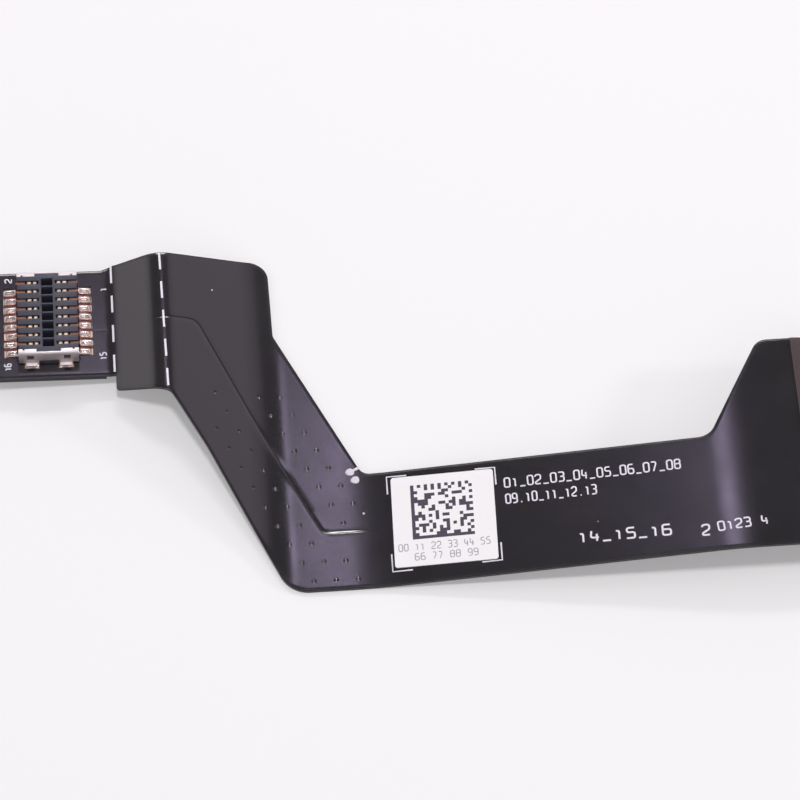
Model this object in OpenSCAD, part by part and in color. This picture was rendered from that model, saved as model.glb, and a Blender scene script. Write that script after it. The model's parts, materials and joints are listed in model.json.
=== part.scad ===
// Flat flex cable: a double-sided flexible printed circuit that joins a 16-way board
// connector on its narrow left panel to a row of contact lands under its wide right end.
// It lies on a table as it comes to rest: X along the cable, Y across it, Z up.
// Each sheet of the laminate is a flat plan shape cut from a band that follows the bends.

/* [Plan of the cable] */
// Length of the whole cable as it lies
length = 90.5; // [88:0.5:96]
// Width of the long straight run
run_w = 12.35; // [11.8:0.05:12.9]
// Where the run's far edge meets the diagonal arm
run_start_x = 36.3; // [35.8:0.1:36.8]
// Where the right part starts to widen
widen_x = 69.6; // [67:0.1:71]
// Where the right part has its full width
wide_x = 75.3; // [74.5:0.1:76.5]
// Full width of the right part
wide_w = 22.65; // [21.5:0.05:24]

/* [Connector panel and dog-leg] */
// Length of the connector panel, up to the first crease
panel_len = 13; // [12.8:0.1:13.4]
// Near edge of the panel, measured from the near edge of the run
panel_y = 24.5; // [24.3:0.1:24.7]
// Width of the panel
panel_w = 12.05; // [12:0.05:12.3]
// How far the dog-leg stands out past the panel's far edge
far_step = 0.5; // [0.4:0.05:0.8]
// How far the ear stands out past the panel's near edge
ear_step = 1.65; // [1.4:0.05:1.9]
// Right edge of the dog-leg
dogleg_x = 28.4; // [28:0.1:28.8]

/* [Bends] */
// Height of the panel's left end above the table
panel_lift = 1.8; // [1.6:0.05:2.2]
// Slope of the connector panel
panel_slope = -0.048; // [-0.06:0.002:-0.03]
// Slope of the ramp that follows the first crease
ramp_slope = 0.5; // [0.4:0.02:0.6]
// Where the crest lies, at the second crease
crest_x = 17.7; // [17.2:0.1:18.2]
// Slope from the crest down to the table
fall_slope = -0.35; // [-0.4:0.01:-0.33]
// Slope of the long run
run_slope = 0.103; // [0.08:0.001:0.12]

/* [Laminate] */
// Thickness of each black coverlay over the copper
cover_t = 0.08; // [0.06:0.01:0.1]
// Thickness of each copper foil
copper_t = 0.07; // [0.05:0.01:0.09]
// Thickness of the polyimide base film
base_t = 0.1; // [0.08:0.01:0.14]
// Gap between the two copper planes of a side
plane_gap = 0.3; // [0.2:0.05:0.4]
// Margin from the outline to the copper
copper_margin = 0.5; // [0.4:0.05:0.6]
// Diameter of a plated via
via_d = 0.3; // [0.2:0.05:0.4]

/* [Connector] */
// Positions in each of the two rows
positions = 8; // [8:1:8]
// Pitch of the positions
pitch = 1; // [0.98:0.01:1]
// Width of the housing
housing_w = 5.8; // [5.8:0.05:6]
// Height of the housing above the coverlay
housing_h = 1.9; // [1.8:0.05:2.1]
// Thickness of a contact
contact_t = 0.25; // [0.24:0.01:0.3]
// Width of the slot that a contact stands in
slot_w = 0.36; // [0.33:0.01:0.4]
// Thickness of the hold-down plate
plate_t = 0.2; // [0.15:0.01:0.22]

/* [Label and films] */
// Side of the square label
label_side = 9.8; // [9.4:0.1:10.2]
// Thickness of the label and of the end film
film_t = 0.1; // [0.06:0.01:0.12]
// Left edge of the polyimide film on the right end
end_film_x = 78.5; // [78:0.1:79.5]
// Thickness of the stiffener under the connector
stiffener_t = 0.3; // [0.2:0.05:0.4]

/* [Hidden] */
POSITION_COUNT = 2 * positions;

eps = 0.01;
past = 1;             // how far a cutter or a band runs past what it cuts
tall = 12;            // height of the plan prisms
corner_steps = 8;     // facets of a rounded corner
bend_steps = 8;       // facets of a bend

far_y = panel_y + panel_w + far_step;
sheet_t = 2 * cover_t + 2 * copper_t + base_t;
rear_copper_z = cover_t;
base_z = rear_copper_z + copper_t;
front_copper_z = base_z + base_t;
front_cover_z = front_copper_z + copper_t;

// ---- The bends: each is [where it is, the slope after it, the length of its rounding] ----

first_crease = [panel_len + 0.2, ramp_slope, 1.4];
crest = [crest_x, fall_slope, 2.4];
crest_height = panel_lift + panel_slope * first_crease[0]
    + ramp_slope * (crest[0] - first_crease[0]);
landing = [crest[0] - crest_height / fall_slope, 0, 4];
run_foot = [37, run_slope, 5];
run_top = [71.5, 0, 4];
run_rise = run_slope * (run_top[0] - run_foot[0]);
end_drop_len = 8.2;
end_foot = [length - 1.8, 0, 2.8];
end_drop = [end_foot[0] - end_drop_len, -run_rise / end_drop_len, 5];
BENDS = [first_crease, crest, landing, run_foot, run_top, end_drop, end_foot];

function slope_before(i) = i == 0 ? panel_slope : BENDS[i - 1][1];
function sum(list, i = 0) = i < len(list) ? list[i] + sum(list, i + 1) : 0;

// Share of a rounding that is done at distance d past the bend, and its integral.
function bend_share(d, len) = min(max(d / len + 0.5, 0), 1);
function bend_rise(d, len) =
    d <= -len / 2 ? 0 : d >= len / 2 ? d : pow(d + len / 2, 2) / (2 * len);

function slope_at(x) = panel_slope + sum([for (i = [0:len(BENDS) - 1])
    (BENDS[i][1] - slope_before(i)) * bend_share(x - BENDS[i][0], BENDS[i][2])]);
function height_at(x) = panel_lift + panel_slope * x + sum([for (i = [0:len(BENDS) - 1])
    (BENDS[i][1] - slope_before(i)) * bend_rise(x - BENDS[i][0], BENDS[i][2])]);

STATIONS = concat([-past], [for (b = BENDS, k = [0:bend_steps])
    b[0] + b[2] * (k / bend_steps - 0.5)], [length + past]);

// Point of the bent section at station x, lifted by h along the sheet's normal.
function section_point(x, h) = let (a = atan(slope_at(x)))
    [x - h * sin(a), height_at(x) + h * cos(a)];

// ---- Plan outlines: points are [x, y, corner radius], counter-clockwise ----

function xy(p) = [p[0], p[1]];
function unit(v) = v / norm(v);
function turn(a) = a > 180 ? a - 360 : a < -180 ? a + 360 : a;

function corner(before, p, after) =
    let (u = unit(xy(before) - xy(p)), v = unit(xy(after) - xy(p)),
         half = acos(u * v) / 2, r = p[2],
         centre = xy(p) + unit(u + v) * r / sin(half),
         from = xy(p) + u * r / tan(half) - centre,
         to = xy(p) + v * r / tan(half) - centre,
         start = atan2(from[1], from[0]),
         sweep = turn(atan2(to[1], to[0]) - start))
    [for (k = [0:corner_steps]) let (a = start + sweep * k / corner_steps)
        centre + r * [cos(a), sin(a)]];

function rounded(pts) = let (n = len(pts)) [for (i = [0:n - 1])
    each (len(pts[i]) < 3 || pts[i][2] == 0) ? [xy(pts[i])]
        : corner(pts[(i + n - 1) % n], pts[i], pts[(i + 1) % n])];

// The same outline moved inwards by d, its rounded corners kept parallel.
function inset(pts, d) = let (n = len(pts)) [for (i = [0:n - 1])
    let (e0 = unit(xy(pts[i]) - xy(pts[(i + n - 1) % n])),
         e1 = unit(xy(pts[(i + 1) % n]) - xy(pts[i])),
         n0 = [-e0[1], e0[0]], n1 = [-e1[1], e1[0]],
         p = xy(pts[i]) + d * (n0 + n1) / (1 + n0 * n1),
         left_turn = e0[0] * e1[1] - e0[1] * e1[0] > 0)
    [p[0], p[1], left_turn ? max(pts[i][2] - d, 0.05) : pts[i][2] + d]];

OUTLINE = [
    [0, panel_y, 0.8],
    [panel_len + 0.15, panel_y, 0.1],
    [panel_len + 0.15, panel_y - ear_step, 0.3],
    [18.4, 21.3, 1.2],
    [21.6, 15.4, 20],
    [28.7, 0, 3],
    [length, 0, 1],
    [length, wide_w, 1],
    [wide_x, wide_w, 1.6],
    [widen_x, run_w, 1.8],
    [run_start_x, run_w, 1.2],
    [dogleg_x + 0.15, 28.5, 0.8],
    [dogleg_x, far_y, 1.9],
    [panel_len + 0.2, far_y, 0.3],
    [panel_len - 1, far_y - far_step, 0.6],
    [0, far_y - far_step, 0.8]];

// Middle of the gap between the two copper planes, from the panel to the right end.
GAP_PATH = [[-past, 29.6], [21.15, 29.6], [32.2, 6.1], [75.3, 6.1], [80.5, 11.3],
            [length + past, 11.3]];

// A path moved to its left by d.
function beside(path, d) = let (n = len(path)) [for (i = [0:n - 1])
    let (e0 = unit(path[max(i, 1)] - path[max(i, 1) - 1]),
         e1 = unit(path[min(i + 1, n - 1)] - path[min(i + 1, n - 1) - 1]),
         n0 = [-e0[1], e0[0]], n1 = [-e1[1], e1[0]])
    path[i] + d * (n0 + n1) / (1 + n0 * n1)];

function reversed(list) = [for (i = [len(list) - 1:-1:0]) list[i]];

// ---- Connector places, in the connector's own frame on top of the coverlay ----

connector_x = 6.7;
connector_y = 30.75;
row_len = (positions - 1) * pitch;
housing_len = row_len + 2;
pad_x = [housing_w / 2 - 0.05, housing_w / 2 + 1.4];     // bare part of a pad
pad_neck = 0.4;                                    // pad under the coverlay
pad_w = 0.72;
foot_x = [1.05, 2.25];
foot_y = housing_len / 2 + plate_t + 0.3;
pad_top = -cover_t;

function row_y(row) = row_len / 2 - row * pitch;

// The two middle rows carry signals, and the others join a copper plane.
signal_rows = [4, 5];

function is_signal(row) = len(search(row, signal_rows)) > 0;

module at_connector() {
    surface = section_point(connector_x, sheet_t);
    translate([surface[0], connector_y, surface[1]])
        rotate([0, -atan(panel_slope), 0])
            children();
}

// The connector's place in the plan.
module plan_at_connector() {
    translate([section_point(connector_x, sheet_t)[0], connector_y]) children();
}

module centred() {
    translate([-length / 2, -far_y / 2, 0]) children();
}

// ---- Bent layers ----

// The band between two heights over the sheet's underside, over the whole plan.
module band(low, high) {
    translate([0, far_y + past, 0]) rotate([90, 0, 0])
        linear_extrude(height = far_y + 2 * past)
            polygon(concat([for (x = STATIONS) section_point(x, low)],
                           reversed([for (x = STATIONS) section_point(x, high)])));
}

// A layer of the sheet: the children's plan shape cut from a band.
module layer(low, high) {
    intersection() {
        band(low, high);
        translate([0, 0, -2]) linear_extrude(height = tall) children();
    }
}

module outline_plan() {
    polygon(rounded(OUTLINE));
}

module copper_plan() {
    polygon(rounded(inset(OUTLINE, copper_margin)));
}

module far_side() {
    polygon(concat(beside(GAP_PATH, plane_gap / 2),
                   [[length + past, far_y + past], [-past, far_y + past]]));
}

module near_side() {
    polygon(concat(reversed(beside(GAP_PATH, -plane_gap / 2)),
                   [[-past, -past], [length + past, -past]]));
}

module box_plan(x, y) {
    translate([x[0], y[0]]) square([x[1] - x[0], y[1] - y[0]]);
}

// ---- Plan of the connector's pads and of the windows over them ----

module pad_row_plan(side, rows = [0:positions - 1]) {
    plan_at_connector() for (row = rows) mirror([side < 0 ? 1 : 0, 0])
        box_plan([pad_x[0], pad_x[1] + (is_signal(row) ? 0 : pad_neck)],
                 [row_y(row) - pad_w / 2, row_y(row) + pad_w / 2]);
}

module hold_down_pad_plan(grow = 0) {
    plan_at_connector() for (mx = [0, 1], my = [0, 1])
        mirror([mx, 0]) mirror([0, my])
            box_plan([foot_x[0] - 0.1 - grow, foot_x[1] + 0.1 + grow],
                     [housing_len / 2 - grow, foot_y + 0.15 + grow]);
}

module pad_window_plan() {
    plan_at_connector() for (mx = [0, 1]) mirror([mx, 0])
        box_plan(pad_x, [-row_len / 2 - 0.5, row_len / 2 + 0.5]);
}

// Copper kept clear round the pads: the planes stop at the necks.
module pad_field_plan() {
    plan_at_connector() for (mx = [0, 1]) mirror([mx, 0])
        box_plan([pad_x[0] - 0.2, pad_x[1] + pad_neck],
                 [-row_len / 2 - 0.7, row_len / 2 + 0.7]);
}

// ---- Signal traces on the rear copper, and the lands of the right end ----

trace_w = 0.15;
trace_pitch = 0.3;
land_count = POSITION_COUNT;
land_pitch = 1.25;
land_w = 0.8;
land_x = [length - 6.2, length - 2.4];
land_start_x = land_x[0] - 0.8;
first_signal_land = 6;

function land_y(i) = wide_w / 2 + ((land_count - 1) / 2 - i) * land_pitch;

// The four traces run between the planes. The outer two end under the right pads, and the
// inner two pass below the connector to the left pads.
TRACE_OFFSETS = [1.5, 0.5, -0.5, -1.5] * trace_pitch;
trace_y = [for (o = TRACE_OFFSETS) GAP_PATH[0][1] + o];
right_pad_mid = connector_x + (pad_x[0] + pad_x[1]) / 2;
left_pad_mid = connector_x - (pad_x[0] + pad_x[1]) / 2;
TRACE_STARTS = [
    [[right_pad_mid, trace_y[0]]],
    [[left_pad_mid, trace_y[0]], [left_pad_mid + 0.5, trace_y[0]],
     [left_pad_mid + 0.8, trace_y[1]]],
    [[left_pad_mid, trace_y[3]], [left_pad_mid + 0.5, trace_y[3]],
     [left_pad_mid + 0.8, trace_y[2]]],
    [[right_pad_mid, trace_y[3]]]];

function trace_end(k) = let (fan_x = land_start_x - (k == 0 || k == 3 ? 1.4 : 0.8),
                             y = land_y(first_signal_land + k))
    [[fan_x, GAP_PATH[4][1] + TRACE_OFFSETS[k]], [fan_x + 0.3, y], [land_start_x, y]];

TRACES = [for (k = [0:3]) let (lane = beside(GAP_PATH, TRACE_OFFSETS[k]))
    concat(TRACE_STARTS[k], [for (i = [1:4]) lane[i]], trace_end(k))];

module trace_plan(w = trace_w) {
    for (path = TRACES)
        polygon(concat(beside(path, w / 2), reversed(beside(path, -w / 2))));
}

module rear_plane_plan() {
    difference() {
        copper_plan();
        trace_plan(trace_w + 0.5);
        translate([land_start_x, 0]) square([length, far_y]);
    }
}

module land_plan() {
    for (i = [0:land_count - 1])
        box_plan([land_start_x, land_x[1] + 0.3],
                 [land_y(i) - land_w / 2, land_y(i) + land_w / 2]);
}

module land_window_plan() {
    box_plan(land_x, [land_y(land_count - 1) - 0.7, land_y(0) + 0.7]);
}

// ---- Vias: a staggered field in the arm on each side of the gap ----

via_step = [2.1, 2.05];
via_origin = [22.6, 1];
via_edge = 1;
via_gap = 1.2;

function between(a, b, y) = a[0] + (b[0] - a[0]) * (y - a[1]) / (b[1] - a[1]);
function arm_left(y) = between(OUTLINE[4], OUTLINE[5], y);
function arm_right(y) = between(OUTLINE[10], OUTLINE[11], max(y, run_w));
function gap_x(y) = between(GAP_PATH[1], GAP_PATH[2], y);
function via_clear(x, y) = x > arm_left(y) + via_edge && x < arm_right(y) - via_edge
    && (abs(x - gap_x(y)) > via_gap || y < GAP_PATH[2][1] - 1)
    && (x < gap_x(y) || abs(y - GAP_PATH[2][1]) > 1);

VIAS = [for (j = [0:10], i = [0:6])
    let (x = via_origin[0] + via_step[0] * (i + (j % 2) / 2), y = via_origin[1] + via_step[1] * j)
    if (via_clear(x, y)) [x, y]];

module via_plan() {
    for (p = VIAS) translate(p) circle(d = via_d, $fn = 24);
    for (path = TRACES) translate(path[0]) circle(d = 0.2, $fn = 24);
}

// ---- Sheets of the laminate ----

module base_film() {
    color("#9a5a2a") centred() layer(base_z, front_copper_z) difference() {
        outline_plan();
        via_plan();
    }
}

module front_plane_plan() {
    difference() {
        copper_plan();
        pad_field_plan();
        hold_down_pad_plan(grow = 0.2);
    }
}

module front_copper_far() {
    color("#c77a4a") centred() layer(front_copper_z, front_cover_z) intersection() {
        front_plane_plan();
        far_side();
    }
}

module front_copper_near() {
    color("#c77a4a") centred() layer(front_copper_z, front_cover_z) intersection() {
        front_plane_plan();
        near_side();
    }
}

module rear_copper_far() {
    color("#c77a4a") centred() layer(rear_copper_z, base_z) intersection() {
        rear_plane_plan();
        far_side();
    }
}

module rear_copper_near() {
    color("#c77a4a") centred() layer(rear_copper_z, base_z) intersection() {
        rear_plane_plan();
        near_side();
    }
}

module signal_traces() {
    color("#c77a4a") centred() layer(rear_copper_z, base_z) trace_plan();
}

module plated_vias() {
    color("#c77a4a") centred() layer(base_z, front_copper_z) via_plan();
}

// ---- Coverlays: each fills the space round its copper and covers it ----

module front_coverlay() {
    color("#2c2a2e") centred() difference() {
        layer(front_copper_z, sheet_t) outline_plan();
        layer(front_copper_z - past, front_cover_z) front_copper_plan();
        layer(front_copper_z - past, sheet_t + past) union() {
            pad_window_plan();
            hold_down_pad_plan(grow = 0.1);
        }
    }
}

module rear_coverlay() {
    color("#2c2a2e") centred() difference() {
        layer(0, base_z) outline_plan();
        layer(rear_copper_z, base_z + past) rear_copper_plan();
        layer(-past, base_z + past) land_window_plan();
    }
}

module front_copper_plan() {
    intersection() {
        front_plane_plan();
        union() {
            far_side();
            near_side();
        }
    }
    pad_row_plan(side = 1);
    pad_row_plan(side = -1);
    hold_down_pad_plan();
}

module rear_copper_plan() {
    intersection() {
        rear_plane_plan();
        union() {
            far_side();
            near_side();
        }
    }
    trace_plan();
    land_plan();
}

module pads_left() {
    color("#d9a24a") centred() layer(front_copper_z, front_cover_z) pad_row_plan(side = -1);
}

module pads_right() {
    color("#d9a24a") centred() layer(front_copper_z, front_cover_z) pad_row_plan(side = 1);
}

module pads_hold_down() {
    color("#d9a24a") centred() layer(front_copper_z, front_cover_z) hold_down_pad_plan();
}

module end_lands() {
    color("#d9a24a") centred() layer(rear_copper_z, base_z) land_plan();
}

// ---- Films on the front and the stiffener on the back ----

label_mid = [43.75, 6.55];
label_turn = -1.2;

module label() {
    color("#f2eef6") centred() layer(sheet_t, sheet_t + film_t)
        translate(label_mid) rotate(label_turn)
            polygon(rounded([for (c = [[-1, -1], [1, -1], [1, 1], [-1, 1]])
                concat(c * label_side / 2, [0.3])]));
}

module end_film() {
    color("#4e4244") centred() layer(sheet_t, sheet_t + film_t) intersection() {
        outline_plan();
        translate([end_film_x, -past]) square([length, far_y]);
    }
}

adhesive_t = 0.05;
stiffener_end = panel_len - 0.8;

module stiffener_plan() {
    intersection() {
        outline_plan();
        translate([-past, panel_y - past]) square([stiffener_end + past, far_y]);
    }
}

module stiffener_adhesive() {
    color("#cbb48a") centred() layer(-adhesive_t, 0) stiffener_plan();
}

module stiffener() {
    color("#8c5a2c") centred() layer(-adhesive_t - stiffener_t, -adhesive_t) stiffener_plan();
}

// ---- Connector, drawn in its own frame: x across the two rows, y along them ----

wall = 0.25;
floor_t = 0.15;
cavity_x = 0.55;
cavity_y = 0.42;
cavity_floor = 0.5;
slot_inner_x = cavity_x + wall;
tab_x = 1.18;
tab_t = 0.16;
tab_y = housing_len / 2 - 0.32;
plate_x = housing_w / 2 + 0.03;

// A profile in the x-z plane, extruded by w about y.
module across(y, w) {
    translate([0, y + w / 2, 0]) rotate([90, 0, 0]) linear_extrude(height = w) children();
}

// A profile in the y-z plane, extruded from x0 to x1.
module along(x0, x1) {
    translate([x0, 0, 0]) rotate([90, 0, 90]) linear_extrude(height = x1 - x0) children();
}

module both_sides() {
    children();
    mirror([1, 0, 0]) children();
}

module housing_block() {
    along(-housing_w / 2, housing_w / 2)
        polygon([[-housing_len / 2, 0], [housing_len / 2, 0],
                 [housing_len / 2, housing_h], [-housing_len / 2, housing_h]]);
    // Plastic that fills the hold-downs' cut-out at each end
    for (my = [0, 1]) mirror([0, my, 0])
        translate([-cut_x, housing_len / 2 - eps, 0]) cube([2 * cut_x, plate_t + eps, cut_z]);
}

module tab_recess() {
    translate([tab_x, tab_y, housing_h - tab_t]) cube([housing_w, housing_len, housing_h]);
}

module contact_slot(row) {
    translate([slot_inner_x, row_y(row) - slot_w / 2, floor_t])
        cube([housing_w, slot_w, housing_h]);
}

module blade_cavity(row) {
    translate([-cavity_x, row_y(row) - cavity_y, cavity_floor])
        cube([2 * cavity_x, 2 * cavity_y, housing_h]);
}

module housing() {
    color("#39384a") centred() at_connector() difference() {
        housing_block();
        for (my = [0, 1]) mirror([0, my, 0]) both_sides() tab_recess();
        for (row = [0:positions - 1]) {
            both_sides() contact_slot(row);
            blade_cavity(row);
        }
    }
}

// Hold-down: an end plate with two windows, two notched top tabs and two solder feet.
cut_x = 0.95;
cut_z = 0.55;
window_x = [1.45, 2.1];
window_z = [0.75, 1.45];
notch_x = [2.32, 2.52];
notch_y = 0.14;

module hold_down_plate() {
    y0 = housing_len / 2;
    difference() {
        along(-plate_x, plate_x)
            polygon(rounded([[y0, 0.15], [y0 + plate_t, 0.15],
                             [y0 + plate_t, housing_h, 0.15], [y0, housing_h]]));
        translate([-cut_x, y0 - past, -past]) cube([2 * cut_x, 2 * past, cut_z + past]);
        both_sides() translate([window_x[0], y0 - past, window_z[0]])
            cube([window_x[1] - window_x[0], 2 * past, window_z[1] - window_z[0]]);
    }
}

module hold_down_tab() {
    difference() {
        translate([tab_x, tab_y, housing_h - tab_t])
            cube([plate_x - tab_x, housing_len / 2 - tab_y + eps, tab_t]);
        translate([notch_x[0], tab_y - past, 0])
            cube([notch_x[1] - notch_x[0], past + notch_y, 2 * housing_h]);
    }
}

module hold_down_foot() {
    y0 = housing_len / 2;
    along(foot_x[0], foot_x[1])
        polygon(rounded([[y0, pad_top], [foot_y, pad_top], [foot_y, pad_top + plate_t],
                         [y0 + plate_t, pad_top + plate_t, 0.08], [y0 + plate_t, 0.4],
                         [y0, 0.4]]));
}

module hold_down() {
    hold_down_plate();
    both_sides() {
        hold_down_tab();
        hold_down_foot();
    }
}

module hold_down_far() {
    color("#b8b2ba") centred() at_connector() hold_down();
}

module hold_down_near() {
    color("#b8b2ba") centred() at_connector() mirror([0, 1, 0]) hold_down();
}

// Contact: blanked from strip, with a solder tail, an outer post and two fork tines.
tine_x = [0.95, 1.33, 1.53, 1.95];
tip_z = housing_h - 0.12;
shoulder_z = 1.1;
post_x = [2.1, housing_w / 2 + 0.17];
post_z = 1.75;
tail_x = housing_w / 2 + 0.85;
tail_t = 0.2;
fork_z = 0.45;

module contact_profile() {
    polygon(rounded([
        [tine_x[0], floor_t], [housing_w / 2, floor_t], [housing_w / 2, pad_top],
        [tail_x, pad_top, 0.05], [tail_x, pad_top + tail_t, 0.08],
        [post_x[1], pad_top + tail_t, 0.06], [post_x[1], post_z, 0.2],
        [post_x[0], post_z, 0.06], [post_x[0], shoulder_z, 0.06], [tine_x[3], shoulder_z, 0.06],
        [tine_x[3], tip_z, 0.12], [tine_x[2] - 0.05, tip_z, 0.12],
        [tine_x[2], tip_z - 0.45], [tine_x[2], fork_z, 0.08],
        [tine_x[1], fork_z, 0.08], [tine_x[1], tip_z - 0.45],
        [tine_x[1] + 0.05, tip_z, 0.12], [tine_x[0], tip_z, 0.12]]));
}

function contact_side(n) = n % 2 == 1 ? 1 : -1;
function contact_row(n) = ceil(n / 2) - 1;

module one_contact(side, row) {
    mirror([side < 0 ? 1 : 0, 0, 0]) across(row_y(row), contact_t) contact_profile();
}

module contact(n) {
    color("#c99a55") centred() at_connector() one_contact(contact_side(n), contact_row(n));
}

// ---- Solder: a lump over each pad and tail, and one against each foot ----

solder_w = 0.66;
solder_x = [housing_w / 2 + 0.02, pad_x[1] - 0.06];

module solder_profile() {
    polygon([[solder_x[0], pad_top], [solder_x[1], pad_top], [solder_x[1] - 0.04, 0.04],
             [solder_x[1] - 0.3, 0.18], [tail_x - 0.2, 0.26], [post_x[1] + 0.1, 0.34],
             [post_x[1], 0.5], [solder_x[0], 0.5]]);
}

module solder_row(side) {
    color("#cfc4c4") centred() at_connector() for (row = [0:positions - 1]) difference() {
        mirror([side < 0 ? 1 : 0, 0, 0]) across(row_y(row), solder_w) solder_profile();
        one_contact(side, row);
    }
}

module solder_left() {
    solder_row(side = -1);
}

module solder_right() {
    solder_row(side = 1);
}

module solder_hold_down() {
    y1 = foot_y + 0.13;
    color("#cfc4c4") centred() at_connector() for (my = [0, 1]) mirror([0, my, 0])
        both_sides() along(foot_x[0] - 0.05, foot_x[1] + 0.05)
            polygon([[foot_y, pad_top], [y1, pad_top], [y1 - 0.03, 0], [foot_y, 0.1]]);
}

// ---- What is drawn ----

base_film();
front_copper_far();
front_copper_near();
rear_copper_far();
rear_copper_near();
signal_traces();
plated_vias();
front_coverlay();
rear_coverlay();
pads_left();
pads_right();
pads_hold_down();
end_lands();
end_film();
label();
stiffener();
stiffener_adhesive();
housing();
hold_down_near();
hold_down_far();
solder_left();
solder_right();
solder_hold_down();
for (n = [1:POSITION_COUNT]) contact(n);
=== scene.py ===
"""The looks of a flat flex cable: a black flexible printed circuit with a board connector.

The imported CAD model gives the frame. Each sub-assembly below is a class that holds its sizes in
millimetres, builds its meshes on the bent sheet and dresses them. Lengths along the cable (x) and
across it (y) are plan sizes, measured from the connector panel's left end and from the near edge
of the long run; SheetForm turns them into places in the frame.
"""

import json
import logging
import math
from dataclasses import dataclass, field
from enum import Enum
from typing import Callable, Iterable, Sequence

import bmesh
import bpy
import numpy as np
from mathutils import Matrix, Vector
from mathutils.bvhtree import BVHTree
from mathutils.geometry import delaunay_2d_cdt

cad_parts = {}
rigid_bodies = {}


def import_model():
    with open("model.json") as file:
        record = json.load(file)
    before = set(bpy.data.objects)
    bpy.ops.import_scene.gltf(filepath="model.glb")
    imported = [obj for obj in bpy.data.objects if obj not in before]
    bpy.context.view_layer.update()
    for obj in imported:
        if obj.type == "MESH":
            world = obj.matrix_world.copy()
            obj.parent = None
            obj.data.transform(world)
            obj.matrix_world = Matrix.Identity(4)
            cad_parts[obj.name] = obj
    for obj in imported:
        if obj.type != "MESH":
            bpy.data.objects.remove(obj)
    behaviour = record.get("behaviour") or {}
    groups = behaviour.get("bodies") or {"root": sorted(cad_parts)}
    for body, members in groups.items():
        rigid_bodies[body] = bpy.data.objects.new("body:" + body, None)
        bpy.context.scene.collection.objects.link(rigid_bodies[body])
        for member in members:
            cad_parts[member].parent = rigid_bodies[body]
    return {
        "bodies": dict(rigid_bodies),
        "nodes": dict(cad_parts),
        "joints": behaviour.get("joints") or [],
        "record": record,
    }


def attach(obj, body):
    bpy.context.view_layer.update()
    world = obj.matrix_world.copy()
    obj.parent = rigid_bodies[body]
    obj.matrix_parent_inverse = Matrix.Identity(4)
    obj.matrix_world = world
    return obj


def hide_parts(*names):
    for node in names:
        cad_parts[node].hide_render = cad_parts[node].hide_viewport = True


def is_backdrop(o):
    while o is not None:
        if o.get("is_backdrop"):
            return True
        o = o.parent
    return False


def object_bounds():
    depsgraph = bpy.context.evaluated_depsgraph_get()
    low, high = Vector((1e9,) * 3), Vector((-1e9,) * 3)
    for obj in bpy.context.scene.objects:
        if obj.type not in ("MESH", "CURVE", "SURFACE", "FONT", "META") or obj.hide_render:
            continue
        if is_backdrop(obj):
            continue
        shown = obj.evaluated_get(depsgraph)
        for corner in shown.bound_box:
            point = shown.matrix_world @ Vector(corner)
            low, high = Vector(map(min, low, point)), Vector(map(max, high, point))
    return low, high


log = logging.getLogger("flex_cable")

MM = 0.001
BODY = "root"

EDGE_STEP = 0.25    # the longest stretch between two points of a skin's edge, in millimetres

Array = np.ndarray
Point = tuple[float, float]
Place = tuple[float, float, float]


# ---------------------------------------------------------------- node trees and materials


def linear(hex_colour: str) -> tuple[float, float, float, float]:
    """Turns an sRGB hex colour into a linear one.

    Args:
        hex_colour: six hex digits with a leading #.

    Returns:
        Linear red, green, blue and an alpha of 1.
    """
    parts = [int(hex_colour[i:i + 2], 16) / 255 for i in (1, 3, 5)]
    linear_parts = [c / 12.92 if c <= 0.04045 else ((c + 0.055) / 1.055) ** 2.4 for c in parts]
    return (*linear_parts, 1.0)


def add(tree: bpy.types.NodeTree, kind: str, links: dict | None = None,
        **settings: object) -> bpy.types.Node:
    """Adds one node with its settings and its incoming links.

    Args:
        tree: the material or geometry tree.
        kind: the node's type name.
        links: input name or index to the output socket that feeds it, or to a constant.
        settings: properties of the node itself, such as its mode.

    Returns:
        The new node.
    """
    node = tree.nodes.new(kind)
    for key, value in settings.items():
        setattr(node, key, value)
    for key, value in (links or {}).items():
        if isinstance(value, bpy.types.NodeSocket):
            tree.links.new(value, node.inputs[key])
        else:
            node.inputs[key].default_value = value
    return node


def cleared(owner: bpy.types.Material | bpy.types.World) -> bpy.types.NodeTree:
    """Gives a material or a world an empty node tree.

    Args:
        owner: the material or the world.

    Returns:
        Its tree.
    """
    owner.use_nodes = True
    owner.node_tree.nodes.clear()
    return owner.node_tree


class Grain(Enum):
    """The way a surface's fine structure runs."""

    EVEN = (1.0, 1.0, 1.0)
    ALONG_X = (0.06, 1.0, 1.0)


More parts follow.
